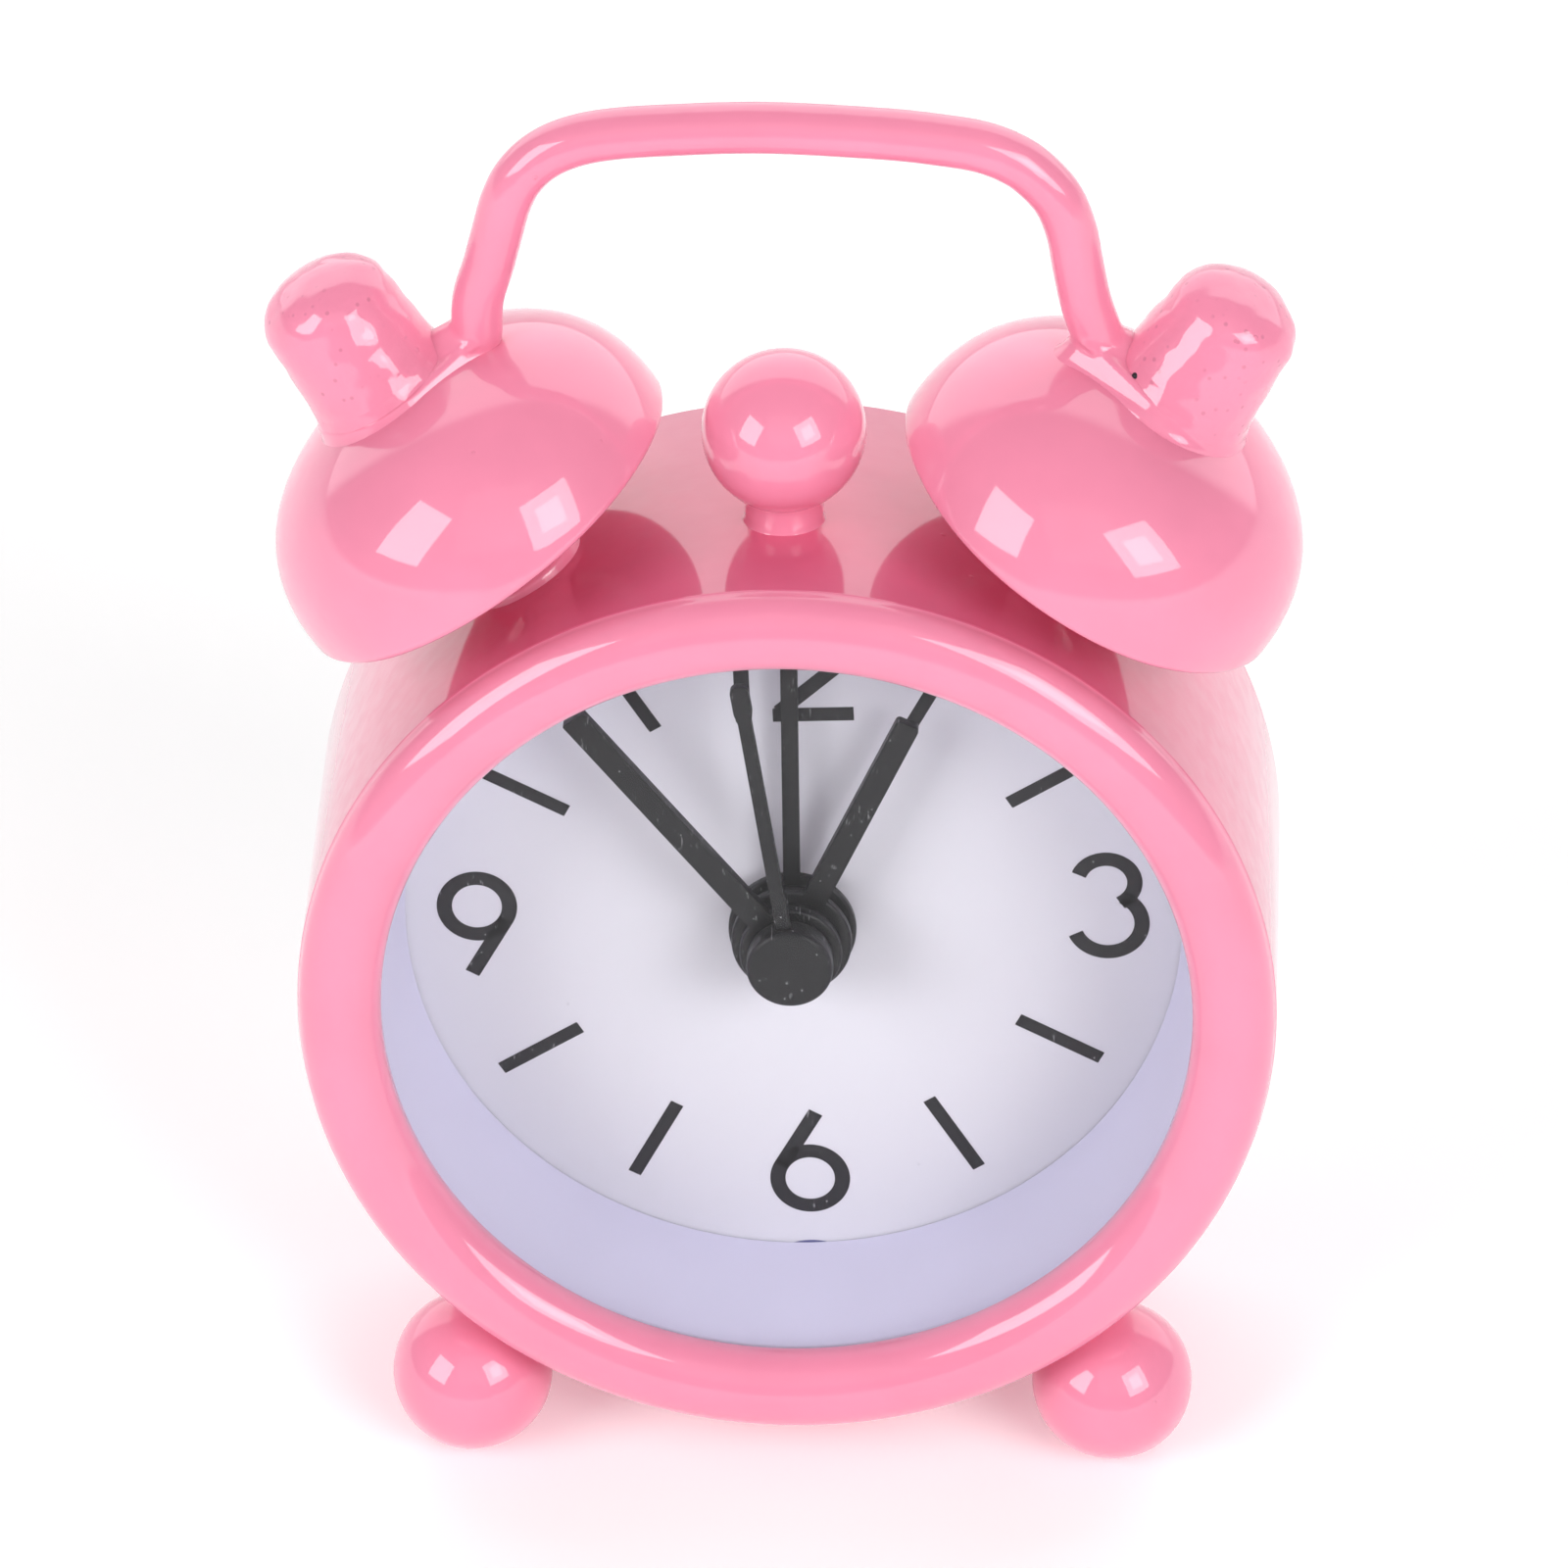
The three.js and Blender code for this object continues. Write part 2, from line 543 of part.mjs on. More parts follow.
function gear(teeth, module, phase, layer, bore) {
  return plate(toothedShape(teeth, module, phase, bore), layer, 6);
}
const PIVOT_FRONT = LAYER.middlePlate[0] + GAP;
const PIVOT_REAR = LAYER.rearPlate[1] - GAP;
const ARBOR_SIDES = 10;
const INTERMEDIATE_ARBOR = 0.22;
const ROTOR_ARBOR = 0.2;

const secondWheel = join(
  gear(TEETH.second, MODULE.second, PHASE.second, LAYER.second),
  gear(TEETH.secondPinion, MODULE.third, PHASE.second, [LAYER.second[1] - GAP, LAYER.third[1]]),
  disc(SECOND_ARBOR, CAP_FRONT_Y + 0.5, PIVOT_REAR, ARBOR_SIDES),
);
const thirdWheel = join(
  gear(TEETH.third, MODULE.third, PHASE.thirdWheel, LAYER.third),
  gear(TEETH.thirdPinion, MODULE.centre, PHASE.third, LAYER.centre),
  disc(SECOND_ARBOR, PIVOT_FRONT, PIVOT_REAR, ARBOR_SIDES),
);
const intermediatePinionY = [LAYER.second[0], LAYER.third[0] + GAP];
const intermediateWheel = join(
  gear(TEETH.intermediate, MODULE.rotor, 0, LAYER.third),
  gear(TEETH.intermediatePinion, MODULE.second, PHASE.intermediatePinion, intermediatePinionY),
  disc(INTERMEDIATE_ARBOR, PIVOT_FRONT, PIVOT_REAR, ARBOR_SIDES),
);
const MAGNET_RADIUS = 1.0;
const MAGNET_Y = [3.95, 4.6];
const rotor = join(
  gear(TEETH.rotor, MODULE.rotor, PHASE.rotor, LAYER.third),
  disc(MAGNET_RADIUS, ...MAGNET_Y, 16),
  disc(ROTOR_ARBOR, PIVOT_FRONT, PIVOT_REAR, ARBOR_SIDES),
);
const centreWheel = cut(
  join(
    gear(TEETH.centre, MODULE.centre, PHASE.centre, LAYER.centre),
    disc(CENTRE_TUBE, LAYER.hour[0], LAYER.centre[1], 14),
  ),
  disc(SECOND_ARBOR + RUNNING, LAYER.hour[0] - 1, LAYER.centre[1] + 1, 14),
);

// A wheel on the rear end of a pipe that carries its hand in front of the dial.
function pipedWheel(wheel, pipeRadius, boreRadius, frontY, rearY) {
  const pipe = disc(pipeRadius, frontY, rearY, 18);
  return cut(join(wheel, pipe), disc(boreRadius, frontY - 1, rearY + 1, 18));
}
const cannonPinion = pipedWheel(
  gear(TEETH.cannon, MODULE.motion, PHASE.cannon, LAYER.minute),
  CANNON_PIPE, CENTRE_TUBE + RUNNING, HAND.minute.y[0], LAYER.minute[1],
);
const hourWheel = pipedWheel(
  gear(TEETH.hour, MODULE.motion, PHASE.hour, LAYER.hour),
  HOUR_PIPE, CANNON_PIPE + RUNNING, HAND.hour.y[0], LAYER.hour[1],
);
const alarmWheel = pipedWheel(
  gear(TEETH.alarm, MODULE.alarm, PHASE.alarm, LAYER.alarm),
  ALARM_PIPE, HOUR_PIPE + RUNNING, HAND.alarm.y[0], LAYER.alarm[1],
);
const MINUTE_STUD = 0.28;
const minuteWheel = cut(
  join(
    gear(TEETH.minute, MODULE.motion, PHASE.minute, LAYER.minute),
    gear(TEETH.minutePinion, MODULE.motion, 0, [LAYER.hour[0], LAYER.minute[0] + GAP]),
  ),
  disc(MINUTE_STUD + RUNNING, 0, 5, 12),
);
dialSide.add(
  named("second_wheel", secondWheel, wheelPlastic),
  named("third_wheel", thirdWheel, wheelPlastic, THIRD),
  named("intermediate_wheel", intermediateWheel, wheelPlastic, INTERMEDIATE),
  named("rotor", rotor, steel, ROTOR),
  named("centre_wheel", centreWheel, wheelPlastic),
  named("cannon_pinion", cannonPinion, wheelPlastic),
  named("minute_wheel", minuteWheel, wheelPlastic, MINUTE),
  named("hour_wheel", hourWheel, wheelPlastic),
  named("alarm_wheel", alarmWheel, wheelPlastic),
);

// ---------- movement housing and plates ----------
// A disc's outline cut off flat on its lower side.
function flatSided(radius, flatZ) {
  const start = Math.asin(flatZ / radius);
  const shape = new THREE.Shape();
  shape.absarc(0, 0, radius, start, Math.PI - start, false);
  return shape;
}
const screwPosts = [{ x: -8.6, z: 8.0 }, { x: 8.6, z: 8.0 }];
const SCREW_POST_RADIUS = 0.8;
const MOVEMENT_SCREW_RADIUS = 0.3;
const MOVEMENT_SCREW_TIP_Y = 2.6;
const innerRadius = MOVEMENT_RADIUS - MOVEMENT_WALL;
const innerFlat = MOVEMENT_FLAT_Z + MOVEMENT_WALL;
const housingRear = LAYER.rearPlate[0] - GAP;
const HOUSING_CURVE = 14;
const housingCup = cut(
  plate(flatSided(MOVEMENT_RADIUS, MOVEMENT_FLAT_Z), [LAYER.housing[0], housingRear], HOUSING_CURVE),
  plate(flatSided(innerRadius, innerFlat), [LAYER.housing[1], housingRear + 1], HOUSING_CURVE),
  disc(ALARM_PIPE + GAP, 0, 2, 18),
);
const screwPost = disc(SCREW_POST_RADIUS, LAYER.housing[0] + GAP, housingRear, 10);
const screwPostHole = disc(
  MOVEMENT_SCREW_RADIUS + GAP, MOVEMENT_SCREW_TIP_Y - 4 * GAP, housingRear + 1, 8,
);
const housing = cut(
  join(housingCup, ...screwPosts.map((place) => at(screwPost, place))),
  ...screwPosts.map((place) => at(screwPostHole, place)),
);
dialSide.add(named("movement_housing", housing, greyPlastic));

// The holes that both plates have, for the arbors and the setting stems.
const arborHoles = [
  [THIRD, SECOND_ARBOR + RUNNING], [INTERMEDIATE, INTERMEDIATE_ARBOR + RUNNING],
  [ROTOR, ROTOR_ARBOR + RUNNING], [ALARM_KNOB, SET_STEM + GAP], [TIME_KNOB, SET_STEM + GAP],
];
function pierce(shape, holes) {
  shape.holes.push(...holes.map(([place, radius]) => holeAt(place.x, place.z, radius)));
  return shape;
}
const middleShape = pierce(flatSided(innerRadius - GAP, innerFlat + GAP), [
  [CENTRE, CENTRE_TUBE + GAP], ...arborHoles,
  ...screwPosts.map((place) => [place, SCREW_POST_RADIUS + GAP]),
]);
const minuteStud = at(disc(MINUTE_STUD, LAYER.alarm[1] + GAP, LAYER.middlePlate[1] - GAP, 10), MINUTE);
dialSide.add(named("middle_plate", join(plate(middleShape, LAYER.middlePlate, 8), minuteStud), greyPlastic));

const rearShape = pierce(flatSided(MOVEMENT_RADIUS, MOVEMENT_FLAT_Z), [
  [CENTRE, SECOND_ARBOR + RUNNING], ...arborHoles,
  ...screwPosts.map((place) => [place, MOVEMENT_SCREW_RADIUS + GAP]),
]);
dialSide.add(named("movement_rear_plate", plate(rearShape, LAYER.rearPlate, 8), greyPlastic));

function plainScrew(headRadius, shankRadius, tipY, seatY, headY) {
  return turned([[0, tipY], [shankRadius, tipY], [shankRadius, seatY], [headRadius, seatY],
    [headRadius, headY], [0, headY]], 10);
}

// A screw along Y with a cross recess in its head.
function crossScrew(headRadius, shankRadius, tipY, seatY, headY) {
  const slot = headRadius * 1.2;
  const body = plainScrew(headRadius, shankRadius, tipY, seatY, headY);
  const recessY = headY - (headY - seatY) * 0.25;
  const depth = (headY - seatY) * 0.5;
  return cut(body, box(0, recessY, 0, slot, depth, 0.3), box(0, recessY, 0, 0.3, depth, slot));
}
const movementScrewSeat = LAYER.rearPlate[1] + GAP / 4;
const movementScrew = plainScrew(
  2.5 * MOVEMENT_SCREW_RADIUS, MOVEMENT_SCREW_RADIUS, MOVEMENT_SCREW_TIP_Y,
  movementScrewSeat, movementScrewSeat + 0.25,
);
screwPosts.forEach((place, i) => {
  dialSide.add(named(`movement_screw_${i + 1}`, movementScrew, steel, place));
});

// ---------- motor and circuit ----------
// The coil stands beside the wheels, and the stator joins its two ends to the rotor.
const STATOR_Y = [4.05, 4.4];
const STATOR_RING = 0.6; // width of the ring round the magnet
const COIL = { x: 10.9, y: 4.76, z: [-1.6, 4.3], radius: 0.95, bore: 0.62 };
const CORE = { z: [-3.2, 5.8], width: 0.7, depth: 0.5 };

// A bar in the stator's layer between two corners in X and Z.
function statorBar([x0, z0], [x1, z1]) {
  const thickness = STATOR_Y[1] - STATOR_Y[0];
  return box((x0 + x1) / 2, STATOR_Y[0] + thickness / 2, (z0 + z1) / 2, x1 - x0, thickness, z1 - z0);
}
const magnetHole = MAGNET_RADIUS + 3 * GAP;
const statorReach = COIL.x + CORE.width / 2 + 2 * GAP;
const statorTop = CORE.z[1] + 3 * GAP;
const statorJoined = join(
  at(disc(magnetHole + STATOR_RING, ...STATOR_Y, 16), ROTOR),
  statorBar([ROTOR.x, CORE.z[0] - 4 * GAP], [statorReach, ROTOR.z - MAGNET_RADIUS]),
  statorBar([ROTOR.x - STATOR_RING, ROTOR.z + MAGNET_RADIUS], [ROTOR.x + 1.2 * STATOR_RING, statorTop]),
  statorBar([ROTOR.x - STATOR_RING, statorTop - 2 * STATOR_RING], [statorReach, statorTop]),
);
const stator = cut(statorJoined, at(disc(magnetHole, STATOR_Y[0] - 1, STATOR_Y[1] + 1, 16), ROTOR));
const coreLength = CORE.z[1] - CORE.z[0];
const core = box(COIL.x, COIL.y, CORE.z[0] + coreLength / 2, CORE.width, CORE.depth, coreLength);
// The ring runs along Y from -top to -bottom; the quarter turn about X stands it along Z.
const coil = ring(COIL.bore, COIL.radius, -COIL.z[1], -COIL.z[0], 16).rotateX(-Math.PI / 2);

const BOARD = { x: -8.6, z: -1.5, width: 6.2, height: 5.4, y: [3.85, 4.15] };
const circuit = join(
  box(BOARD.x, (BOARD.y[0] + BOARD.y[1]) / 2, BOARD.z, BOARD.width, BOARD.y[1] - BOARD.y[0], BOARD.height),
  disc(1.0, BOARD.y[0] + GAP, BOARD.y[1] + 0.45, 12).translate(BOARD.x + 1.2, 0, BOARD.z + 0.9),
  box(BOARD.x - 1.6, BOARD.y[1], BOARD.z + 1.7, 1.2, 0.5, 0.7),
);
const CRYSTAL = { radius: 0.6, length: 4.4 };
const crystal = disc(CRYSTAL.radius, -CRYSTAL.length / 2, CRYSTAL.length / 2, 12)
  .rotateZ(Math.PI / 2)
  .translate(BOARD.x, BOARD.y[1] + GAP + CRYSTAL.radius, BOARD.z - 1.7);
dialSide.add(
  named("stator", stator, steel),
  named("coil_core", core, steel),
  named("coil", coil.translate(COIL.x, COIL.y, 0), copper),
  named("circuit_board", circuit, board),
  named("quartz_crystal", crystal, steel),
);

// ---------- battery bay ----------
const CELL = { x: 0, z: CELL_Z };
const cellRear = CELL_FRONT_Y + CELL_THICKNESS;
const trayInner = CELL_RADIUS + 1.5 * GAP;
const trayOuter = trayInner + TRAY_WALL;
const trayRim = LAYER.backCover[0] - GAP;
const trayFloor = [CELL_FRONT_Y - 2 * TRAY_WALL, CELL_FRONT_Y - TRAY_WALL];
const tray = turned([
  [0, trayFloor[0]], [trayOuter, trayFloor[0]], [trayOuter, trayRim],
  [trayInner, trayRim], [trayInner, trayFloor[1]], [0, trayFloor[1]],
]);
const CELL_STEP = 0.7; // the smaller negative can sits this far inside the edge
const cellProfile = [
  [0, CELL_FRONT_Y], [CELL_RADIUS - CELL_STEP - 0.3, CELL_FRONT_Y],
  [CELL_RADIUS - CELL_STEP, CELL_FRONT_Y + 0.5], [CELL_RADIUS, CELL_FRONT_Y + 0.6],
  [CELL_RADIUS, cellRear], [0, cellRear],
];
const CONTACT = { width: 1.6, thickness: 0.12 };
function contact(x, y, length) {
  return box(x, y, 0, length, CONTACT.thickness, CONTACT.width);
}
const negativeY = CELL_FRONT_Y - GAP - CONTACT.thickness / 2;
const positiveY = cellRear + GAP + CONTACT.thickness / 2;
dialSide.add(
  named("battery_tray", tray, greyPlastic, CELL),
  named("button_cell", turned(cellProfile), steel, CELL),
  named("battery_contact_negative", contact(0, negativeY, 7.5), brass, CELL),
  named("battery_contact_positive", contact(-2.4, positiveY, 6), brass, CELL),
);

// ---------- back cover and controls ----------
const SLOT_HALF = SWITCH_TRAVEL / 2 + 0.75;
const slotHole = new THREE.Path([
  new THREE.Vector2(-SLOT_HALF, SWITCH_Z - 0.6), new THREE.Vector2(-SLOT_HALF, SWITCH_Z + 0.6),
  new THREE.Vector2(SLOT_HALF, SWITCH_Z + 0.6), new THREE.Vector2(SLOT_HALF, SWITCH_Z - 0.6),
]);
const BUZZER = { x: 10.6, z: -9.6 };
const soundHoles = Array.from({ length: 5 }, (_, i) => {
  const offset = polar(1.5, i * 72 + 18);
  return holeAt(BUZZER.x + offset.x, BUZZER.z + offset.z, 0.4, 6);
});
const BACK_SCREW_RADIUS = 0.44;
const coverShape = new THREE.Shape();
coverShape.absarc(0, 0, inner - 1.5 * GAP, 0, Math.PI * 2, false);
pierce(coverShape, [
  [ALARM_KNOB, SET_STEM + GAP], [TIME_KNOB, SET_STEM + GAP],
  ...pillarPlaces.map((place) => [place, BACK_SCREW_RADIUS + GAP]),
]);
coverShape.holes.push(holeAt(0, CELL_Z, BATTERY_COVER_RADIUS + GAP, 28), slotHole, ...soundHoles);
const HEAD_SEAT_Y = LAYER.backCover[0] + 0.4;
const counterbore = disc(1.25, HEAD_SEAT_Y, LAYER.backCover[1] + 1, 12);
const backCover = cut(
  plate(coverShape, LAYER.backCover, CASE_SIDES / 2),
  ...pillarPlaces.map((place) => at(counterbore, place)),
);
dialSide.add(named("back_cover", backCover, white));
const backScrewY = [BACK_SCREW_TIP_Y, HEAD_SEAT_Y + 0.03, LAYER.backCover[1] - 0.03];
const backScrew = crossScrew(1.05, BACK_SCREW_RADIUS, ...backScrewY);
pillarPlaces.forEach((place, i) => {
  dialSide.add(named(`back_screw_${i + 1}`, backScrew, steel, place));
});

const coverY = [LAYER.backCover[0] + 0.05, LAYER.backCover[1] + 0.35];
const pryNotch = box(0, coverY[1], BATTERY_COVER_RADIUS, 2.4, 0.8, 1.2);
const batteryCover = cut(disc(BATTERY_COVER_RADIUS, ...coverY, 28), pryNotch);
dialSide.add(named("battery_cover", batteryCover, white, CELL));

// A fluted knob on a stem with a pinion at its inner end.
const FLUTES = 14;
function setKnob(pinion, stemFrontY) {
  const outline = Array.from({ length: FLUTES * 2 }, (_, i) => {
    const radius = SET_KNOB_RADIUS - (i % 2) * 0.25;
    const corner = polar(radius, (i * 180) / FLUTES);
    return new THREE.Vector2(corner.x, corner.z);
  });
  const head = plate(new THREE.Shape(outline), SET_KNOB_Y);
  return join(head, disc(SET_STEM, stemFrontY, SET_KNOB_Y[0] + GAP, 12), pinion);
}
const timePinion = gear(TEETH.timeKnob, MODULE.motion, PHASE.timeKnob, LAYER.minute);
const alarmPinion = gear(TEETH.alarmKnob, MODULE.alarm, PHASE.alarmKnob, LAYER.alarm);
dialSide.add(
  named("time_set_knob", setKnob(timePinion, LAYER.minute[0]), white, TIME_KNOB),
  named("alarm_set_knob", setKnob(alarmPinion, LAYER.alarm[0]), white, ALARM_KNOB),
);

const switchX = -SWITCH_TRAVEL / 2;
const alarmSwitch = join(
  box(switchX, LAYER.backCover[0] - 0.15, SWITCH_Z, 3.6, 0.15, 2.4),
  box(switchX, LAYER.backCover[0] + 0.5, SWITCH_Z, 1.2, 1.2, 0.9),
  box(switchX, LAYER.backCover[1] + 0.5, SWITCH_Z, 2.2, 0.8, 2.0),
);

// The spring's foot stands on the housing's floor, and its blade reaches between two wheels.
const SPRING = { thickness: 0.09, width: 0.8, bendZ: 7.4, tipZ: 2.7, footZ: 9.4 };
const springFootY = LAYER.housing[1] + GAP;
const springBladeY = (LAYER.alarm[1] + LAYER.hour[0]) / 2 - SPRING.thickness / 2;
function springStrip([y0, z0], [y1, z1]) {
  return box(0, (y0 + y1) / 2, (z0 + z1) / 2, SPRING.width, y1 - y0, z1 - z0);
}
const springTopZ = SPRING.bendZ + SPRING.thickness;
const contactSpring = join(
  springStrip([springFootY, SPRING.bendZ], [springFootY + SPRING.thickness, SPRING.footZ]),
  springStrip([springFootY, SPRING.bendZ], [springBladeY, springTopZ]),
  springStrip([springBladeY, SPRING.tipZ], [springBladeY + SPRING.thickness, springTopZ]),
);
const BUZZER_THICKNESS = 3;
const buzzerY = LAYER.backCover[0] - GAP;
dialSide.add(
  named("alarm_switch", alarmSwitch, black),
  named("alarm_contact_spring", contactSpring, brass),
  named("buzzer", disc(3.1, buzzerY - BUZZER_THICKNESS, buzzerY, 16), black, BUZZER),
);

// ---------- stand the clock on the table ----------
drum.rotation.x = -LEAN;
const clock = new THREE.Group();
clock.add(drum);
const bounds = new THREE.Box3().setFromObject(clock, true);
drum.position.set(-(bounds.min.x + bounds.max.x) / 2, -(bounds.min.y + bounds.max.y) / 2, -bounds.min.z);

export default clock;
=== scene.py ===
import json
import math

import bmesh
import bpy
from mathutils import Matrix, Vector, noise


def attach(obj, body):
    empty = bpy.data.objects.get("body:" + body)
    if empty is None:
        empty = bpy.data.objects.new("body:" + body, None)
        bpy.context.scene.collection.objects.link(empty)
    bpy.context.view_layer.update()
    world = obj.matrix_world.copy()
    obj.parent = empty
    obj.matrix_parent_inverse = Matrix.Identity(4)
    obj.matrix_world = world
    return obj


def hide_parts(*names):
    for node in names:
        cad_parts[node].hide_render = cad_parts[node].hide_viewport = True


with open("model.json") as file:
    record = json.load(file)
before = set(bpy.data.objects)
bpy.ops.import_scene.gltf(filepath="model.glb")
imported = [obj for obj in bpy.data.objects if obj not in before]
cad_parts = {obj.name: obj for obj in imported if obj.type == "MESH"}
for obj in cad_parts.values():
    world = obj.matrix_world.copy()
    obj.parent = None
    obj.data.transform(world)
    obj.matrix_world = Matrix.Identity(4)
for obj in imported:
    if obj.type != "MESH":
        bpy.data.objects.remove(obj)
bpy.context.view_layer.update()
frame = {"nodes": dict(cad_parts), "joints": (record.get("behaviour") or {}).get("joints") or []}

# Lengths below are millimetres, in one of the clock's own frames; MM turns them into metres.
MM = 0.001
SIDES = 128  # segments round the large turned pieces
SMALL_SIDES = 64
TINY = 1e-5  # shorter lengths count as nothing
BOTH_SIDES = ("left", "right")
BACK_SCREWS = [f"back_screw_{number}" for number in range(1, 5)]


# ---------- the clock's own frames, read from the CAD model ----------
def placing(x_axis, y_axis, z_axis, origin):
    """A matrix from millimetres along these axes to metres in the row frame."""
    turn = Matrix((x_axis, y_axis, z_axis)).transposed().to_4x4()
    return Matrix.Translation(origin) @ turn @ Matrix.Scale(MM, 4)


JOINTS = {joint["name"]: joint for joint in frame["joints"]}
REARWARD = Vector(JOINTS["seconds_turn"]["axis"]).normalized()
RIGHT = Vector((1, 0, 0))
DIAL_RIGHT = Vector(JOINTS["switch_slide"]["axis"]).normalized()


def dial_centre():
    """The point on the drum's axis that lies in the dial's front face."""
    on_axis = Vector(JOINTS["seconds_turn"]["pos_m"])
    front = min(vertex.co.dot(REARWARD) for vertex in frame["nodes"]["dial"].data.vertices)
    return on_axis + REARWARD * (front - on_axis.dot(REARWARD))


CENTRE = dial_centre()
DRUM = placing(RIGHT, REARWARD, RIGHT.cross(REARWARD), CENTRE)
DIAL = placing(DIAL_RIGHT, REARWARD, DIAL_RIGHT.cross(REARWARD), CENTRE)
# In the turned frames Z runs rearwards, so that a profile of (radius, z) is turned about the axis.
QUARTER_TURN = Matrix.Rotation(-math.pi / 2, 4, "X")
TURNED_DRUM = DRUM @ QUARTER_TURN
TURNED_DIAL = DIAL @ QUARTER_TURN


def points_in(node, place):
    """A CAD node's vertices in the given frame, in millimetres."""
    back = place.inverted()
    return [back @ vertex.co for vertex in frame["nodes"][node].data.vertices]


def span(node, place):
    """Lowest and highest corner of a CAD node in the given frame."""
    points = points_in(node, place)
    low = Vector([min(point[i] for point in points) for i in range(3)])
    high = Vector([max(point[i] for point in points) for i in range(3)])
    return low, high


def reach(node, place):
    """A CAD node's largest distance from the Z axis of a turned frame."""
    return max(math.hypot(point.x, point.y) for point in points_in(node, place))


def middle_of(node):
    """The centre of a CAD node's surface, which lies on its axis if it is turned."""
    mesh = frame["nodes"][node].data
    area = sum(face.area for face in mesh.polygons)
    return sum((face.center * face.area for face in mesh.polygons), Vector()) / area


def station(node):
    """A frame whose Z axis runs out from the drum's axis through the middle of a CAD node."""
    middle = DRUM.inverted() @ middle_of(node)
    angle = math.atan2(middle.x, middle.z)
    return DRUM @ Matrix.Translation((0, middle.y, 0)) @ Matrix.Rotation(angle, 4, "Y")


def arbor(node):
    """A turned frame about a CAD node of the movement or the back, with its Z axis rearwards."""
    middle = DIAL.inverted() @ middle_of(node)
    return DIAL @ Matrix.Translation((middle.x, 0, middle.z)) @ QUARTER_TURN


def set_aside(place, distance):
    """A frame moved along the row's X axis by millimetres."""
    return Matrix.Translation(RIGHT * distance * MM) @ place


def linked(name, data):
    """A new object in the scene."""
    obj = bpy.data.objects.new(name, data)
    bpy.context.scene.collection.objects.link(obj)
    return obj


# ---------- camera and light ----------
CAMERA_AZIMUTH = math.radians(3.76)  # to the right of the dial's axis
CAMERA_ELEVATION = math.radians(31.1)  # above the dial's axis
CAMERA_ROLL = math.radians(-3.0)
CAMERA_DISTANCE = 547.8
CAMERA_SHIFT = (-0.37, 5.14)  # how far right and up the camera stands from the dial's centre line
LENS = 321.5
SENSOR_WIDTH = 36
NEAREST = 0.05  # what the camera sees, in metres from it
FARTHEST = 20

# Each light's name, its direction as shares of right, up and towards the camera, its distance, width and
# height in metres, and its radiance.
LEFT_SIDE = (-0.72, 0.0, 0.69)
RIGHT_SIDE = (0.56, -0.04, 0.82)
PANELS = (
    ("softbox_left", LEFT_SIDE, 0.9, 0.46, 0.5, 5.6),
    ("softbox_right", RIGHT_SIDE, 0.9, 0.5, 0.52, 4.8),
    ("softbox_right_middle", RIGHT_SIDE, 0.88, 0.24, 0.26, 2.6),
    ("fill", (0.0, 0.0, 1.0), 1.3, 1.0, 1.0, 0.35),
)
ROOM_GLOW = 0.26
BACKDROP_GLOW = 1.9
BACKDROP_EDGE = (0.44, 0.56)  # the backdrop fades in between these cosines of the angle from straight back


def camera_axes():
    """The camera's right, up and forward directions in the row frame."""
    turn = DIAL.to_3x3().normalized()
    forward = Vector((
        -math.sin(CAMERA_AZIMUTH) * math.cos(CAMERA_ELEVATION),
        math.cos(CAMERA_AZIMUTH) * math.cos(CAMERA_ELEVATION),
        -math.sin(CAMERA_ELEVATION),
    ))
    level = Vector((math.cos(CAMERA_AZIMUTH), math.sin(CAMERA_AZIMUTH), 0))
    upright = level.cross(forward)
    right = level * math.cos(CAMERA_ROLL) + upright * math.sin(CAMERA_ROLL)
    up = upright * math.cos(CAMERA_ROLL) - level * math.sin(CAMERA_ROLL)
    return turn @ right, turn @ up, turn @ forward


def add_camera():
    right, up, forward = camera_axes()
    data = bpy.data.cameras.new("camera")
    data.lens = LENS
    data.sensor_width = SENSOR_WIDTH
    data.clip_start = NEAREST
    data.clip_end = FARTHEST
    camera = linked("camera", data)
    offset = right * CAMERA_SHIFT[0] + up * CAMERA_SHIFT[1] - forward * CAMERA_DISTANCE
    facing = Matrix((right, up, -forward)).transposed().to_4x4()
    camera.matrix_world = Matrix.Translation(CENTRE + offset * MM) @ facing
    bpy.context.scene.camera = camera


def add_panel(name, toward, distance, width, height, radiance):
    """A flat light that faces the clock from the given direction, of the given brightness."""
    data = bpy.data.lights.new(name, "AREA")
    data.shape = "RECTANGLE"
    data.size = width
    data.size_y = height
    data.energy = radiance * math.pi * width * height
    light = linked(name, data)
    light.location = CENTRE + toward.normalized() * distance
    light.rotation_mode = "QUATERNION"
    light.rotation_quaternion = toward.to_track_quat("Z", "Y")


def add_room():
    """A dim room, and a white backdrop that fills a wide cone behind the clock."""
    world = bpy.data.worlds.new("studio")
    nodes = Nodes(world, "Background", Color=(1, 1, 1, 1))
    direction = nodes.add("ShaderNodeTexCoord", {}).outputs["Generated"]
    rearward = nodes.add("ShaderNodeVectorMath", {0: direction, 1: (0, 1, 0)}, operation="DOT_PRODUCT")
    nodes.finish(Strength=nodes.ramp(rearward.outputs["Value"], *BACKDROP_EDGE, ROOM_GLOW, BACKDROP_GLOW))
    bpy.context.scene.world = world


def add_lights():
    right, up, forward = camera_axes()
    for name, (rightwards, upwards, nearer), *settings in PANELS:
        add_panel(name, right * rightwards + up * upwards - forward * nearer, *settings)
    add_room()
    bpy.context.scene.view_settings.view_transform = "Standard"


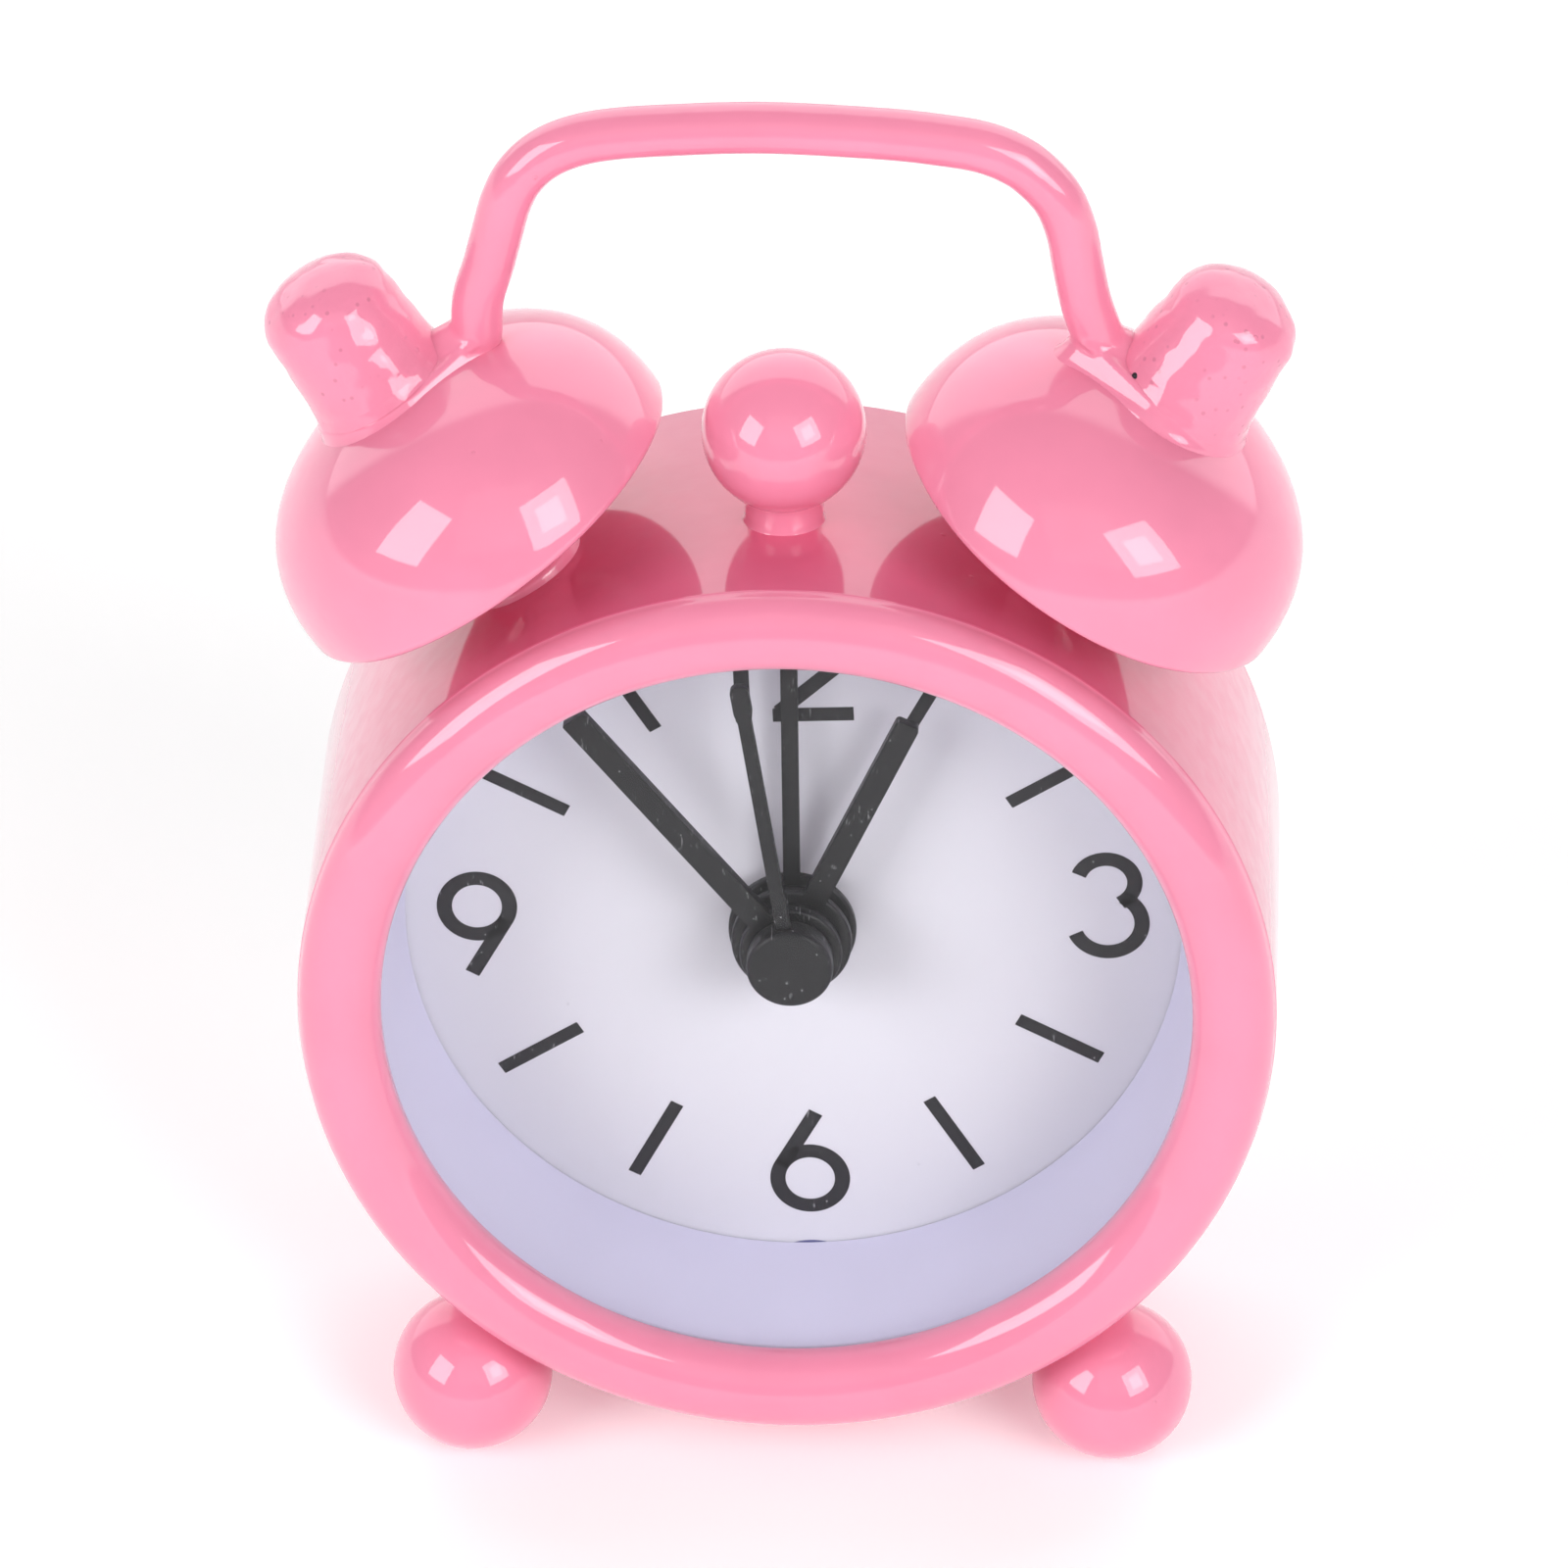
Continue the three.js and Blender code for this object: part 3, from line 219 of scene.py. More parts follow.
# ---------- materials ----------
class Nodes:
    """The node tree of a material or world, with short calls for the nodes that this script uses."""

    def __init__(self, owner, shader="Principled BSDF", **settings):
        owner.use_nodes = True
        self.owner = owner
        self.tree = owner.node_tree
        self.shader = self.tree.nodes[shader]
        for socket, value in settings.items():
            self.shader.inputs[socket.replace("_", " ")].default_value = value

    def add(self, kind, inputs, **settings):
        node = self.tree.nodes.new(kind)
        for key, value in settings.items():
            setattr(node, key, value)
        for socket, value in inputs.items():
            if isinstance(value, bpy.types.NodeSocket):
                self.tree.links.new(value, node.inputs[socket])
            else:
                node.inputs[socket].default_value = value
        return node

    def place(self, stretch=(1, 1, 1)):
        """Object coordinates in millimetres, times a factor along each axis."""
        coordinates = self.add("ShaderNodeTexCoord", {}).outputs["Object"]
        scale = [factor / MM for factor in stretch]
        return self.add("ShaderNodeMapping", {"Vector": coordinates, "Scale": scale}).outputs["Vector"]

    def noise(self, place, per_mm, detail):
        inputs = {"Vector": place, "Scale": per_mm, "Detail": detail}
        return self.add("ShaderNodeTexNoise", inputs).outputs["Fac"]

    def ramp(self, value, low, high, to_low=0.0, to_high=1.0):
        """A value's smooth step from to_low, at low, to to_high, at high."""
        inputs = {"Value": value, "From Min": low, "From Max": high, "To Min": to_low, "To Max": to_high}
        return self.add("ShaderNodeMapRange", inputs, interpolation_type="SMOOTHSTEP").outputs["Result"]

    def spread(self, noise_value, to_low=0.0, to_high=1.0):
        """A noise, most of which lies between 0.3 and 0.7, spread over a range."""
        return self.ramp(noise_value, 0.3, 0.7, to_low, to_high)

    def dots(self, place, per_mm, core, edge, height=1.0):
        """Small round spots strewn about, as high as asked inside the core and gone at the edge."""
        distance = self.add("ShaderNodeTexVoronoi", {"Vector": place, "Scale": per_mm}).outputs["Distance"]
        return self.ramp(distance, core, edge, height, 0.0)

    def math(self, operation, first, second):
        return self.add("ShaderNodeMath", {0: first, 1: second}, operation=operation).outputs[0]

    def mix(self, factor, first, second):
        """Two colours mixed; a Mix node keeps its colour sockets at 6, 7 and, for the result, 2."""
        return self.add("ShaderNodeMix", {0: factor, 6: first, 7: second}, data_type="RGBA").outputs[2]

    def bump(self, height, depth, below=None, strength=1.0):
        """Bump of a depth in millimetres, laid over another bump's normal if one is given."""
        inputs = {"Height": height, "Strength": strength, "Distance": depth * MM}
        if below is not None:
            inputs["Normal"] = below
        return self.add("ShaderNodeBump", inputs).outputs["Normal"]

    def finish(self, **links):
        for socket, value in links.items():
            self.tree.links.new(value, self.shader.inputs[socket.replace("_", " ")])
        return self.owner


def look(name, **settings):
    """The nodes of a new material, whose shader takes these settings."""
    return Nodes(bpy.data.materials.new(name), **settings)


def shade(color, factor):
    return tuple(channel * factor for channel in color[:3]) + (1,)


PINK = (0.862, 0.256, 0.390, 1)
# The case's pink is a deeper copy of the bells' enamel: painted shade that darkens the case top under the
# bells.
SHADED_CASE_PINK = (0.765, 0.150, 0.275, 1)
WHITE = (0.745, 0.738, 0.792, 1)
BACK_WHITE = shade(WHITE, 0.74)
LAVENDER = (0.700, 0.680, 0.840, 1)
BLACK = (0.0075, 0.0072, 0.009, 1)
INK = (0.013, 0.0125, 0.016, 1)
# A bluish dark that paints the shade in the notch at the foot of the sloping ring.
NOTCH_SHADE_BLUE = (0.115, 0.115, 0.290, 1)
SCRATCH_GREY = (0.550, 0.540, 0.560, 1)
GREY = (0.610, 0.600, 0.650, 1)
NATURAL = (0.760, 0.710, 0.600, 1)
GREEN = (0.024, 0.120, 0.050, 1)
STEEL = (0.560, 0.570, 0.600, 1)
IRON = (0.500, 0.500, 0.520, 1)
BRASS = (0.720, 0.500, 0.200, 1)
COPPER = (0.700, 0.260, 0.120, 1)
CLEAR = (0.985, 0.985, 0.990, 1)


def enamel(name, tint, pores=0.0, streaks=0.0):
    """Thick glossy enamel: slow waviness, sparse dust specks, and pores where the paint bubbled, with
    painted shade darkening the pores.
    """
    nodes = look(
        name, IOR=1.5, Specular_IOR_Level=0.1, Coat_Weight=1.0, Coat_Roughness=0.055, Coat_IOR=1.56,
    )
    place = nodes.place()
    color = nodes.mix(nodes.spread(nodes.noise(place, 0.22, 3.0)), shade(tint, 0.965), shade(tint, 1.02))
    normal = nodes.bump(nodes.noise(place, 0.55, 2.0), 0.035)
    normal = nodes.bump(nodes.noise(place, 2.6, 2.0), 0.0022, normal)
    rare = nodes.ramp(nodes.noise(place, 0.4, 0.0), 0.56, 0.6)
    speck = nodes.math("MULTIPLY", nodes.dots(place, 0.62, 0.035, 0.075), rare)
    normal = nodes.bump(speck, 0.03, normal)
    if pores:
        patch = nodes.ramp(nodes.noise(place, 0.55, 1.0), 0.46, 0.58)
        patch = nodes.math("MULTIPLY", patch, pores)
        pore = nodes.math("MULTIPLY", nodes.dots(place, 2.1, 0.1, 0.26), patch)
        normal = nodes.bump(pore, 0.09, normal, strength=-1.0)
        # The pores are darkened to a deeper pink: painted shade inside the pits.
        color = nodes.mix(nodes.math("MULTIPLY", pore, 0.55), color, shade(tint, 0.62))
        normal = nodes.bump(nodes.noise(place, 1.3, 3.0), 0.045, normal, strength=pores)
    if streaks:
        lines = nodes.noise(nodes.place((0.02, 1.0, 0.02)), 5.0, 2.0)
        normal = nodes.bump(lines, 0.0014, normal, strength=streaks)
    gloss = nodes.spread(nodes.noise(place, 1.1, 3.0), 0.3, 0.4)
    return nodes.finish(Base_Color=color, Normal=normal, Roughness=gloss)


def plastic(name, color, roughness, grain=0.0, scratches=0.0, cloudiness=0.03):
    """Moulded plastic: slight clouding, a fine grain, and light hairline scratches where it was handled."""
    nodes = look(name, IOR=1.48, Specular_IOR_Level=0.35)
    place = nodes.place()
    cloud = nodes.spread(nodes.noise(place, 0.3, 3.0))
    base = nodes.mix(cloud, shade(color, 1 - cloudiness), shade(color, 1 + cloudiness))
    normal = nodes.bump(nodes.noise(place, 9.0, 2.0), 0.0012 + grain)
    rough = nodes.spread(nodes.noise(place, 2.0, 4.0), roughness * 0.85, roughness * 1.15)
    if scratches:
        hairs = nodes.ramp(nodes.noise(nodes.place((1.0, 0.07, 0.2)), 12.0, 1.0), 0.65, 0.72, 0.0, 0.6)
        hairs = nodes.math("MULTIPLY", hairs, nodes.ramp(nodes.noise(place, 0.9, 1.0), 0.53, 0.61))
        flecks = nodes.ramp(nodes.noise(place, 1.4, 0.0), 0.52, 0.58)
        flecks = nodes.math("MULTIPLY", nodes.dots(place, 2.6, 0.05, 0.12), flecks)
        marks = nodes.math("MULTIPLY", nodes.math("MAXIMUM", hairs, flecks), scratches)
        base = nodes.mix(marks, base, SCRATCH_GREY)
        normal = nodes.bump(marks, 0.01, normal)
    return nodes.finish(Base_Color=base, Normal=normal, Roughness=rough)


def dial_white(name, color):
    """Satin card with a faint fibre and a few dust marks."""
    nodes = look(name, IOR=1.45)
    place = nodes.place()
    fibre = nodes.noise(nodes.place((1.0, 1.0, 0.25)), 6.0, 3.0)
    base = nodes.mix(nodes.spread(fibre), shade(color, 0.992), shade(color, 1.008))
    base = nodes.mix(nodes.dots(place, 0.45, 0.018, 0.04, 0.32), base, shade(color, 0.62))
    rough = nodes.spread(nodes.noise(place, 1.6, 3.0), 0.42, 0.52)
    return nodes.finish(Base_Color=base, Normal=nodes.bump(fibre, 0.0025), Roughness=rough)


def metal(name, color, roughness, lines_along=(1.0, 1.0, 1.0), tarnish=0.1):
    """Bare metal with fine tool lines along one direction and a little tarnish."""
    nodes = look(name, Metallic=1.0)
    lines = nodes.noise(nodes.place(lines_along), 5.0, 3.0)
    cloud = nodes.ramp(nodes.noise(nodes.place(), 0.8, 4.0), 0.35, 0.75)
    base = nodes.mix(cloud, color, shade(color, 1 - tarnish * 3))
    rough = nodes.spread(lines, roughness * 0.7, roughness * 1.4)
    return nodes.finish(Base_Color=base, Roughness=rough, Normal=nodes.bump(lines, 0.002))


def window(name):
    """Thin clear plastic: nearly all light goes straight through, and a little is mirrored."""
    nodes = look(name, Base_Color=(1, 1, 1, 1), IOR=1.46)
    nodes.finish(Roughness=nodes.spread(nodes.noise(nodes.place(), 0.5, 3.0), 0.03, 0.09))
    clear = nodes.add("ShaderNodeBsdfTransparent", {"Color": CLEAR}).outputs[0]
    edge = nodes.add("ShaderNodeLayerWeight", {"Blend": 0.12}).outputs["Fresnel"]
    mirrored = nodes.ramp(edge, 0.0, 1.0, 0.012, 0.4)
    mixed = nodes.add("ShaderNodeMixShader", {"Fac": mirrored, 1: clear, 2: nodes.shader.outputs[0]})
    nodes.tree.links.new(mixed.outputs[0], nodes.tree.nodes["Material Output"].inputs["Surface"])
    return nodes.owner


MATERIALS = {
    "pink": enamel("pink_enamel", PINK),
    # The case's enamel is the deeper copy of the pink, which paints the shade under the bells.
    "pink_case_shaded": enamel("pink_enamel_case_shaded", SHADED_CASE_PINK, streaks=1.6),
    "pink_porous": enamel("pink_enamel_porous", PINK, pores=1.0),
    "dial": dial_white("dial_white", WHITE),
    "slope": plastic("dial_frame_plastic", LAVENDER, 0.45, cloudiness=0.012),
    "back": plastic("back_plastic", BACK_WHITE, 0.5, grain=0.006),
    "hand": plastic("hand_plastic", BLACK, 0.34, scratches=0.5),
    "ink": plastic("dial_ink", INK, 0.4, scratches=0.7),
    # The rim notch's colour is painted shade for the notch in the sloping ring's lower edge.
    "mark": plastic("rim_notch_painted_shade", NOTCH_SHADE_BLUE, 0.5),
    "switch": plastic("switch_plastic", BLACK, 0.45, grain=0.004),
    "grey": plastic("movement_plastic", GREY, 0.5, grain=0.004),
    "natural": plastic("wheel_plastic", NATURAL, 0.42, grain=0.002),
    "board": plastic("board_mask", GREEN, 0.4, grain=0.006),
    "steel": metal("steel", STEEL, 0.28),
    "lined_steel": metal("stator_steel", IRON, 0.38, lines_along=(0.1, 1.0, 1.0)),
    "brass": metal("brass", BRASS, 0.3, lines_along=(1.0, 1.0, 0.1), tarnish=0.12),
    "copper": metal("copper_wire", COPPER, 0.35, lines_along=(0.05, 0.05, 1.6), tarnish=0.06),
    "window": window("clear_window"),
}


# ---------- mesh helpers ----------
SHARP_ANGLE = math.radians(40)  # edges above this stay sharp in the shading
BEVEL_ANGLE = math.radians(35)  # edges above this are rounded by a bevel


def arc(x, y, across, along, start, end, steps):
    """Points on an ellipse's arc about (x, y), from one angle to another in degrees."""
    angles = [math.radians(start + (end - start) * i / steps) for i in range(steps + 1)]
    return [(x + across * math.cos(a), y + along * math.sin(a)) for a in angles]


def rounded(corners, closed=False, steps=6):
    """An outline through (x, y, radius) corners, with an arc of that radius at each."""
    outline = []
    count = len(corners)
    for i, (x, y, radius) in enumerate(corners):
        here = Vector((x, y))
        at_end = not closed and i in (0, count - 1)
        if radius == 0 or at_end:
            outline.append(here)
            continue
        before = Vector(corners[i - 1][:2]) - here
        after = Vector(corners[(i + 1) % count][:2]) - here
        half = before.angle(after) / 2
        room = 0.499 * min(before.length, after.length)
        cut = min(radius / math.tan(half), room)
        size = cut * math.tan(half)
        middle = here + (before.normalized() + after.normalized()).normalized() * (size / math.sin(half))
        first = here + before.normalized() * cut - middle
        last = here + after.normalized() * cut - middle
        turn = math.atan2(first.x * last.y - first.y * last.x, first.dot(last))
        for step in range(steps + 1):
            outline.append(middle + Matrix.Rotation(turn * step / steps, 2) @ first)
    return [tuple(point) for point in outline]


def skinned(rings, closed=False, capped=False):
    """A skin through rings of points, of which a ring of one point is a pole."""
    bm = bmesh.new()
    loops = [[bm.verts.new(point) for point in ring] for ring in rings]
    pairs = list(zip(loops, loops[1:]))
    if closed:
        pairs.append((loops[-1], loops[0]))
    for first, second in pairs:
        for i in range(max(len(first), len(second))):
            around = ((first, i), (first, i + 1), (second, i + 1), (second, i))
            corners = list(dict.fromkeys(loop[k % len(loop)] for loop, k in around))
            if len(corners) > 2:
                bm.faces.new(corners)
    if capped:
        bm.faces.new(loops[0][::-1])
        bm.faces.new(loops[-1])
    return bm


def lathe(profile, sides=SIDES, closed=False):
    """Faces swept about Z from (radius, z) points; points on the axis become poles."""
    angles = [2 * math.pi * i / sides for i in range(sides)]
    rings = []
    for radius, z in profile:
        if radius < TINY:
            rings.append([(0, 0, z)])
        else:
            rings.append([(radius * math.cos(a), radius * math.sin(a), z) for a in angles])
    return skinned(rings, closed)


def turned(corners, sides=SIDES, closed=False, steps=6):
    """A lathe's work from (radius, z, rounding) corners."""
    return lathe(rounded(corners, closed, steps), sides, closed)


def shaft(radius, low, high, sides):
    """A plain round stem, which also serves to cut holes."""
    return lathe([(0, low), (radius, low), (radius, high), (0, high)], sides)


def washer(bore, radius, low, high, foot, top):
    """A turned disc with a bore, and rounded by these radii at the foot and the top of its rim."""
    outer = rounded([(bore, low, 0), (radius, low, foot), (radius, high, top), (bore, high, 0)])
    return lathe(outer, SMALL_SIDES, closed=True)


def extruded(outline, low, high, hole=()):
    """A flat piece between two heights along Z, from an outline in X and Y and perhaps a hole's."""
    bm = bmesh.new()
    edges = []
    for points in (outline, hole):
        verts = [bm.verts.new((x, y, low)) for x, y in points]
        edges += [bm.edges.new((verts[i - 1], verts[i])) for i in range(len(verts))]
    bmesh.ops.triangle_fill(bm, edges=edges, use_beauty=True)
    made = bmesh.ops.extrude_face_region(bm, geom=bm.faces[:])
    far_side = [item for item in made["geom"] if isinstance(item, bmesh.types.BMVert)]
    bmesh.ops.translate(bm, verts=far_side, vec=(0, 0, high - low))
    return bm


def block(low, high):
    bm = bmesh.new()
    bmesh.ops.create_cube(bm, size=1)
    bmesh.ops.scale(bm, vec=Vector(high) - Vector(low), verts=bm.verts)
    bmesh.ops.translate(bm, vec=(Vector(low) + Vector(high)) / 2, verts=bm.verts)
    return bm


def joined(*parts):
    """One mesh of several, whose faces may pass through each other until they are remeshed."""
    whole = bmesh.new()
    for part in parts:
        mesh = bpy.data.meshes.new("part")
        part.to_mesh(mesh)
        part.free()
        whole.from_mesh(mesh)
        bpy.data.meshes.remove(mesh)
    return whole


def moved(bm, matrix):
    bmesh.ops.transform(bm, matrix=matrix, verts=bm.verts)
    return bm


def roughened(bm, depth, size, seed):
    """Moves each point along its normal by a smooth noise of the given depth and size."""
    bm.normal_update()
    offset = Vector((seed, seed * 1.7, seed * 2.3))
    for vertex in bm.verts:
        vertex.co += vertex.normal * (depth * noise.noise(vertex.co / size + offset))
    return bm


def solid(name, bm, place):
    """An object in the row frame from a mesh in one of the clock's frames."""
    bmesh.ops.recalc_face_normals(bm, faces=bm.faces)
    mesh = bpy.data.meshes.new(name)
    moved(bm, place).to_mesh(mesh)
    bm.free()
    return linked(name, mesh)


def piece(name, bm, place, material, node=None, body="root"):
    """Makes a mesh in one of the clock's frames into a piece, which may stand for a CAD node."""
    bmesh.ops.remove_doubles(bm, verts=bm.verts, dist=TINY)
    obj = solid(name, bm, place)
    obj.data.materials.append(MATERIALS[material])
    obj.data.shade_smooth()
    obj.data.set_sharp_from_angle(angle=SHARP_ANGLE)
    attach(obj, body)
    if node:
        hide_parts(node)
    return obj


def settle(obj):
    """Replaces a piece's mesh by what its modifiers make of it."""
    bpy.context.view_layer.update()
    evaluated = obj.evaluated_get(bpy.context.evaluated_depsgraph_get())
    mesh = bpy.data.meshes.new_from_object(evaluated)
    obj.modifiers.clear()
    obj.data = mesh


def modified(obj, kind, **settings):
    """Adds a modifier to a piece."""
    modifier = obj.modifiers.new(kind.lower(), kind)
    for key, value in settings.items():
        setattr(modifier, key, value)


def remeshed(obj, voxel, rounds):
    """Fuses a piece's overlapping parts into one skin and softens its corners, as thick paint does."""
    modified(obj, "REMESH", mode="VOXEL", voxel_size=voxel * MM, use_smooth_shade=True)
    modified(obj, "SMOOTH", factor=0.5, iterations=rounds)
    settle(obj)
    obj.data.shade_smooth()


def bevelled(obj, width, segments=2):
    """Rounds a piece's sharp edges."""
    modified(
        obj, "BEVEL", width=width * MM, segments=segments, limit_method="ANGLE", angle_limit=BEVEL_ANGLE,
        use_clamp_overlap=True, harden_normals=True,
    )
    settle(obj)


def flattened(obj):
    """Lets a piece's large faces set its normals, so that flat faces look flat between rounded edges."""
    modified(obj, "WEIGHTED_NORMAL", weight=100, keep_sharp=True)
    settle(obj)


def carved(obj, cuts):
    """Cuts closed meshes, each given with its frame, out of a piece."""
    cutters = [solid("cutter", bm, place) for bm, place in cuts]
    for cutter in cutters:
        modified(obj, "BOOLEAN", operation="DIFFERENCE", solver="EXACT", object=cutter)
    settle(obj)
    for cutter in cutters:
        bpy.data.objects.remove(cutter)


# ---------- the drum ----------
CASE_LOW, CASE_HIGH = span("case_shell", TURNED_DRUM)
CASE_RADIUS = reach("case_shell", TURNED_DRUM)
CASE_WALL = 0.8
EDGE = 0.5  # radius of the rolled rear edge
SEAM = 0.02  # depth of the line between bezel and case, which the paint all but fills
BEZEL_LOW, BEZEL_HIGH = span("bezel_ring", TURNED_DRUM)
BEZEL_OUTER = CASE_RADIUS - 0.06
BEZEL_INNER = 15.7
BEZEL_SEAT = CASE_LOW.z - 0.1
LIP = 0.45  # how far the bezel reaches over the window
BALL_RADIUS = 3.16
BALL_FLARE = 1.5  # radius of a ball's foot on the drum


def add_case():
    """The drawn wall, closed up to the bezel in front and rolled in at the rear."""
    front = CASE_LOW.z
    rear = CASE_HIGH.z
    inner = CASE_RADIUS - CASE_WALL
    wall = turned([
        (inner, front, 0), (CASE_RADIUS - SEAM, front, SEAM / 2), (CASE_RADIUS, front + 4 * SEAM, 3 * SEAM),
        (CASE_RADIUS, rear, EDGE), (inner, rear, EDGE / 2),
    ], SIDES * 2, closed=True, steps=8)
    piece("case_wall", wall, TURNED_DRUM, "pink_case_shaded", "case_shell")


def add_bezel():
    """A half-round ring whose back steps in behind the case's edge and holds the window."""
    middle = (BEZEL_INNER + BEZEL_OUTER) / 2
    half = (BEZEL_OUTER - BEZEL_INNER) / 2
    crest = BEZEL_SEAT - BEZEL_LOW.z
    plug = CASE_RADIUS - CASE_WALL - 0.1
    ledge = CASE_RADIUS - 2 * CASE_WALL
    front = arc(middle, BEZEL_SEAT, half, crest, 180, 360, 32)
    rear = [
        (CASE_RADIUS - SEAM, CASE_LOW.z), (plug, CASE_LOW.z + 0.05), (plug, BEZEL_HIGH.z),
        (ledge, BEZEL_HIGH.z), (ledge, BEZEL_SEAT + LIP), (BEZEL_INNER + 0.06, BEZEL_SEAT + LIP),
        (BEZEL_INNER, BEZEL_SEAT + LIP - 0.1),
    ]
    piece("bezel", lathe(front + rear, SIDES * 2, closed=True), TURNED_DRUM, "pink", "bezel_ring")


def add_window():
    """A moulded disc whose rim is bevelled where it sits under the bezel's lip."""
    low, high = span("lens", TURNED_DRUM)
    radius = reach("lens", TURNED_DRUM)
    edge = 0.15
    disc = turned([(0, low.z, 0), (radius, low.z, edge), (radius, high.z, edge), (0, high.z, 0)])
    piece("window", disc, TURNED_DRUM, "window", "lens")


def on_table(bm, place):
    """Lays what would reach below the table onto the table."""
    back = place.inverted()
    for vertex in bm.verts:
        world = place @ vertex.co
        if world.z < 0:
            world.z = 0
            vertex.co = back @ world
    return bm


def add_ball(name, node, neck, aside=0.0, lift=0.0):
    """A painted ball on a short neck; a crooked screw sets it aside and lifts it a little."""
    place = set_aside(station(f"{node}_screw"), aside)
    centre = span(node, place)[1].z - BALL_RADIUS + lift
    foot = CASE_RADIUS - 0.12
    start = math.degrees(math.asin(neck / BALL_RADIUS)) - 90
    waist = centre + BALL_RADIUS * math.sin(math.radians(start))
    skirt = [
        (0, foot), (BALL_FLARE + 0.12, foot), (BALL_FLARE, foot + 0.22),
        (neck + 0.02, foot + (waist - foot) * 0.55), (neck - 0.04, waist - 0.16), (neck, waist - 0.05),
    ]
    body = arc(0, centre, BALL_RADIUS, BALL_RADIUS, start, 90, 48)
    ball = lathe(skirt + body[:-1] + [(0, centre + BALL_RADIUS)], SMALL_SIDES)
    roughened(ball, 0.03, 3.0, seed=centre)
    piece(name, on_table(ball, place), place, "pink", node)


def add_balls():
    add_ball("finial_ball", "top_ball", neck=1.5, aside=-0.16, lift=0.22)
    for side in BOTH_SIDES:
        add_ball(f"foot_ball_{side}", f"foot_{side}", neck=1.35)


# ---------- bells and knobs ----------
BELL = {side: station(f"bell_post_{side}") for side in BOTH_SIDES}
BELL_LOW, BELL_HIGH = span("bell_right", BELL["right"])
BELL_RADIUS = (BELL_HIGH.x - BELL_LOW.x) / 2
BELL_HEIGHT = BELL_HIGH.z - BELL_LOW.z
BELL_WALL = 0.7
BELL_POWER = 2.3  # exponent of the dome's superellipse
# How askew each bell sits: aside in X, then turned about its own X and Y through its crown, in degrees.
BELL_SEATING = {"left": (-0.28, -1.7, -3.0), "right": (-0.11, 1.25, -0.2)}
BELL_SEED = {"left": 3, "right": 8}
POST_RADIUS = 1.35
WASHER_RADIUS = POST_RADIUS + 1.0
WASHER_HIGH = CASE_RADIUS + 0.42
TAB_HIGH = BELL_HIGH.z + 0.4  # the upper face of the tab between bell and knob
LEFTWARD = -0.28  # the handle and the knobs were soldered on a little to the left
KNOB_HIGH = span("bell_knob_right", BELL["right"])[1]
KNOB_RADIUS = KNOB_HIGH.x
KNOB_END_RADIUS = KNOB_RADIUS - 0.27  # where its end starts to round
KNOB_END_HEIGHT = 1.75
KNOB_SEED = {"left": 11, "right": 4}
PINHOLE_RADIUS = 0.15
PINHOLE_ANGLE = math.radians(216)  # round the right knob, at its foot towards the handle


def dome(radius, height, base):
    """Points up a superellipse from its rim to its crown."""
    steps = 40
    angles = [math.pi / 2 * i / steps for i in range(steps + 1)]
    power = 2 / BELL_POWER
    return [(radius * max(math.cos(a), 0) ** power, base + height * math.sin(a) ** power) for a in angles]


def bell_place(side):
    """The frame of a bell as it sits, a little askew on its post."""
    aside, about_x, about_y = BELL_SEATING[side]
    crown = Matrix.Translation((0, 0, BELL_HIGH.z))
    tip = Matrix.Rotation(math.radians(about_y), 4, "Y") @ Matrix.Rotation(math.radians(about_x), 4, "X")
    return set_aside(BELL[side], aside) @ crown @ tip @ crown.inverted()


def add_bell(side):
    """A spun dome with a rounded lip, thickened by paint."""
    rim = BELL_LOW.z
    outer = dome(BELL_RADIUS, BELL_HEIGHT, rim)
    inner = dome(BELL_RADIUS - BELL_WALL, BELL_HEIGHT - BELL_WALL, rim)
    lip = arc(BELL_RADIUS - BELL_WALL / 2, rim, BELL_WALL / 2, BELL_WALL / 2, 180, 360, 10)
    profile = [(0, inner[-1][1])] + inner[-2:0:-1] + lip + outer[1:-1] + [(0, outer[-1][1])]
    bell = roughened(lathe(profile), 0.05, 5.0, BELL_SEED[side])
    piece(f"bell_dome_{side}", bell, bell_place(side), "pink", f"bell_{side}")


def add_post(side):
    """The pillar under a bell, on a painted washer."""
    low = CASE_RADIUS - 0.35
    high = BELL_HIGH.z - BELL_WALL + 0.05
    post = turned([
        (0, low, 0), (WASHER_RADIUS, low, 0), (WASHER_RADIUS, WASHER_HIGH, 0.3),
        (POST_RADIUS, WASHER_HIGH + 0.08, 0.5), (POST_RADIUS, high - 0.3, 0.5),
        (POST_RADIUS + 0.8, high, 0), (0, high, 0),
    ], 48)
    piece(f"post_{side}", post, BELL[side], "pink", f"bell_post_{side}")


def resampled(profile, step):
    """The same outline with points no further apart than the step."""
    dense = [profile[0]]
    for (x, y), (next_x, next_y) in zip(profile, profile[1:]):
        count = max(1, math.ceil(math.hypot(next_x - x, next_y - y) / step))
        dense += [(x + (next_x - x) * i / count, y + (next_y - y) * i / count) for i in range(1, count + 1)]
    return dense


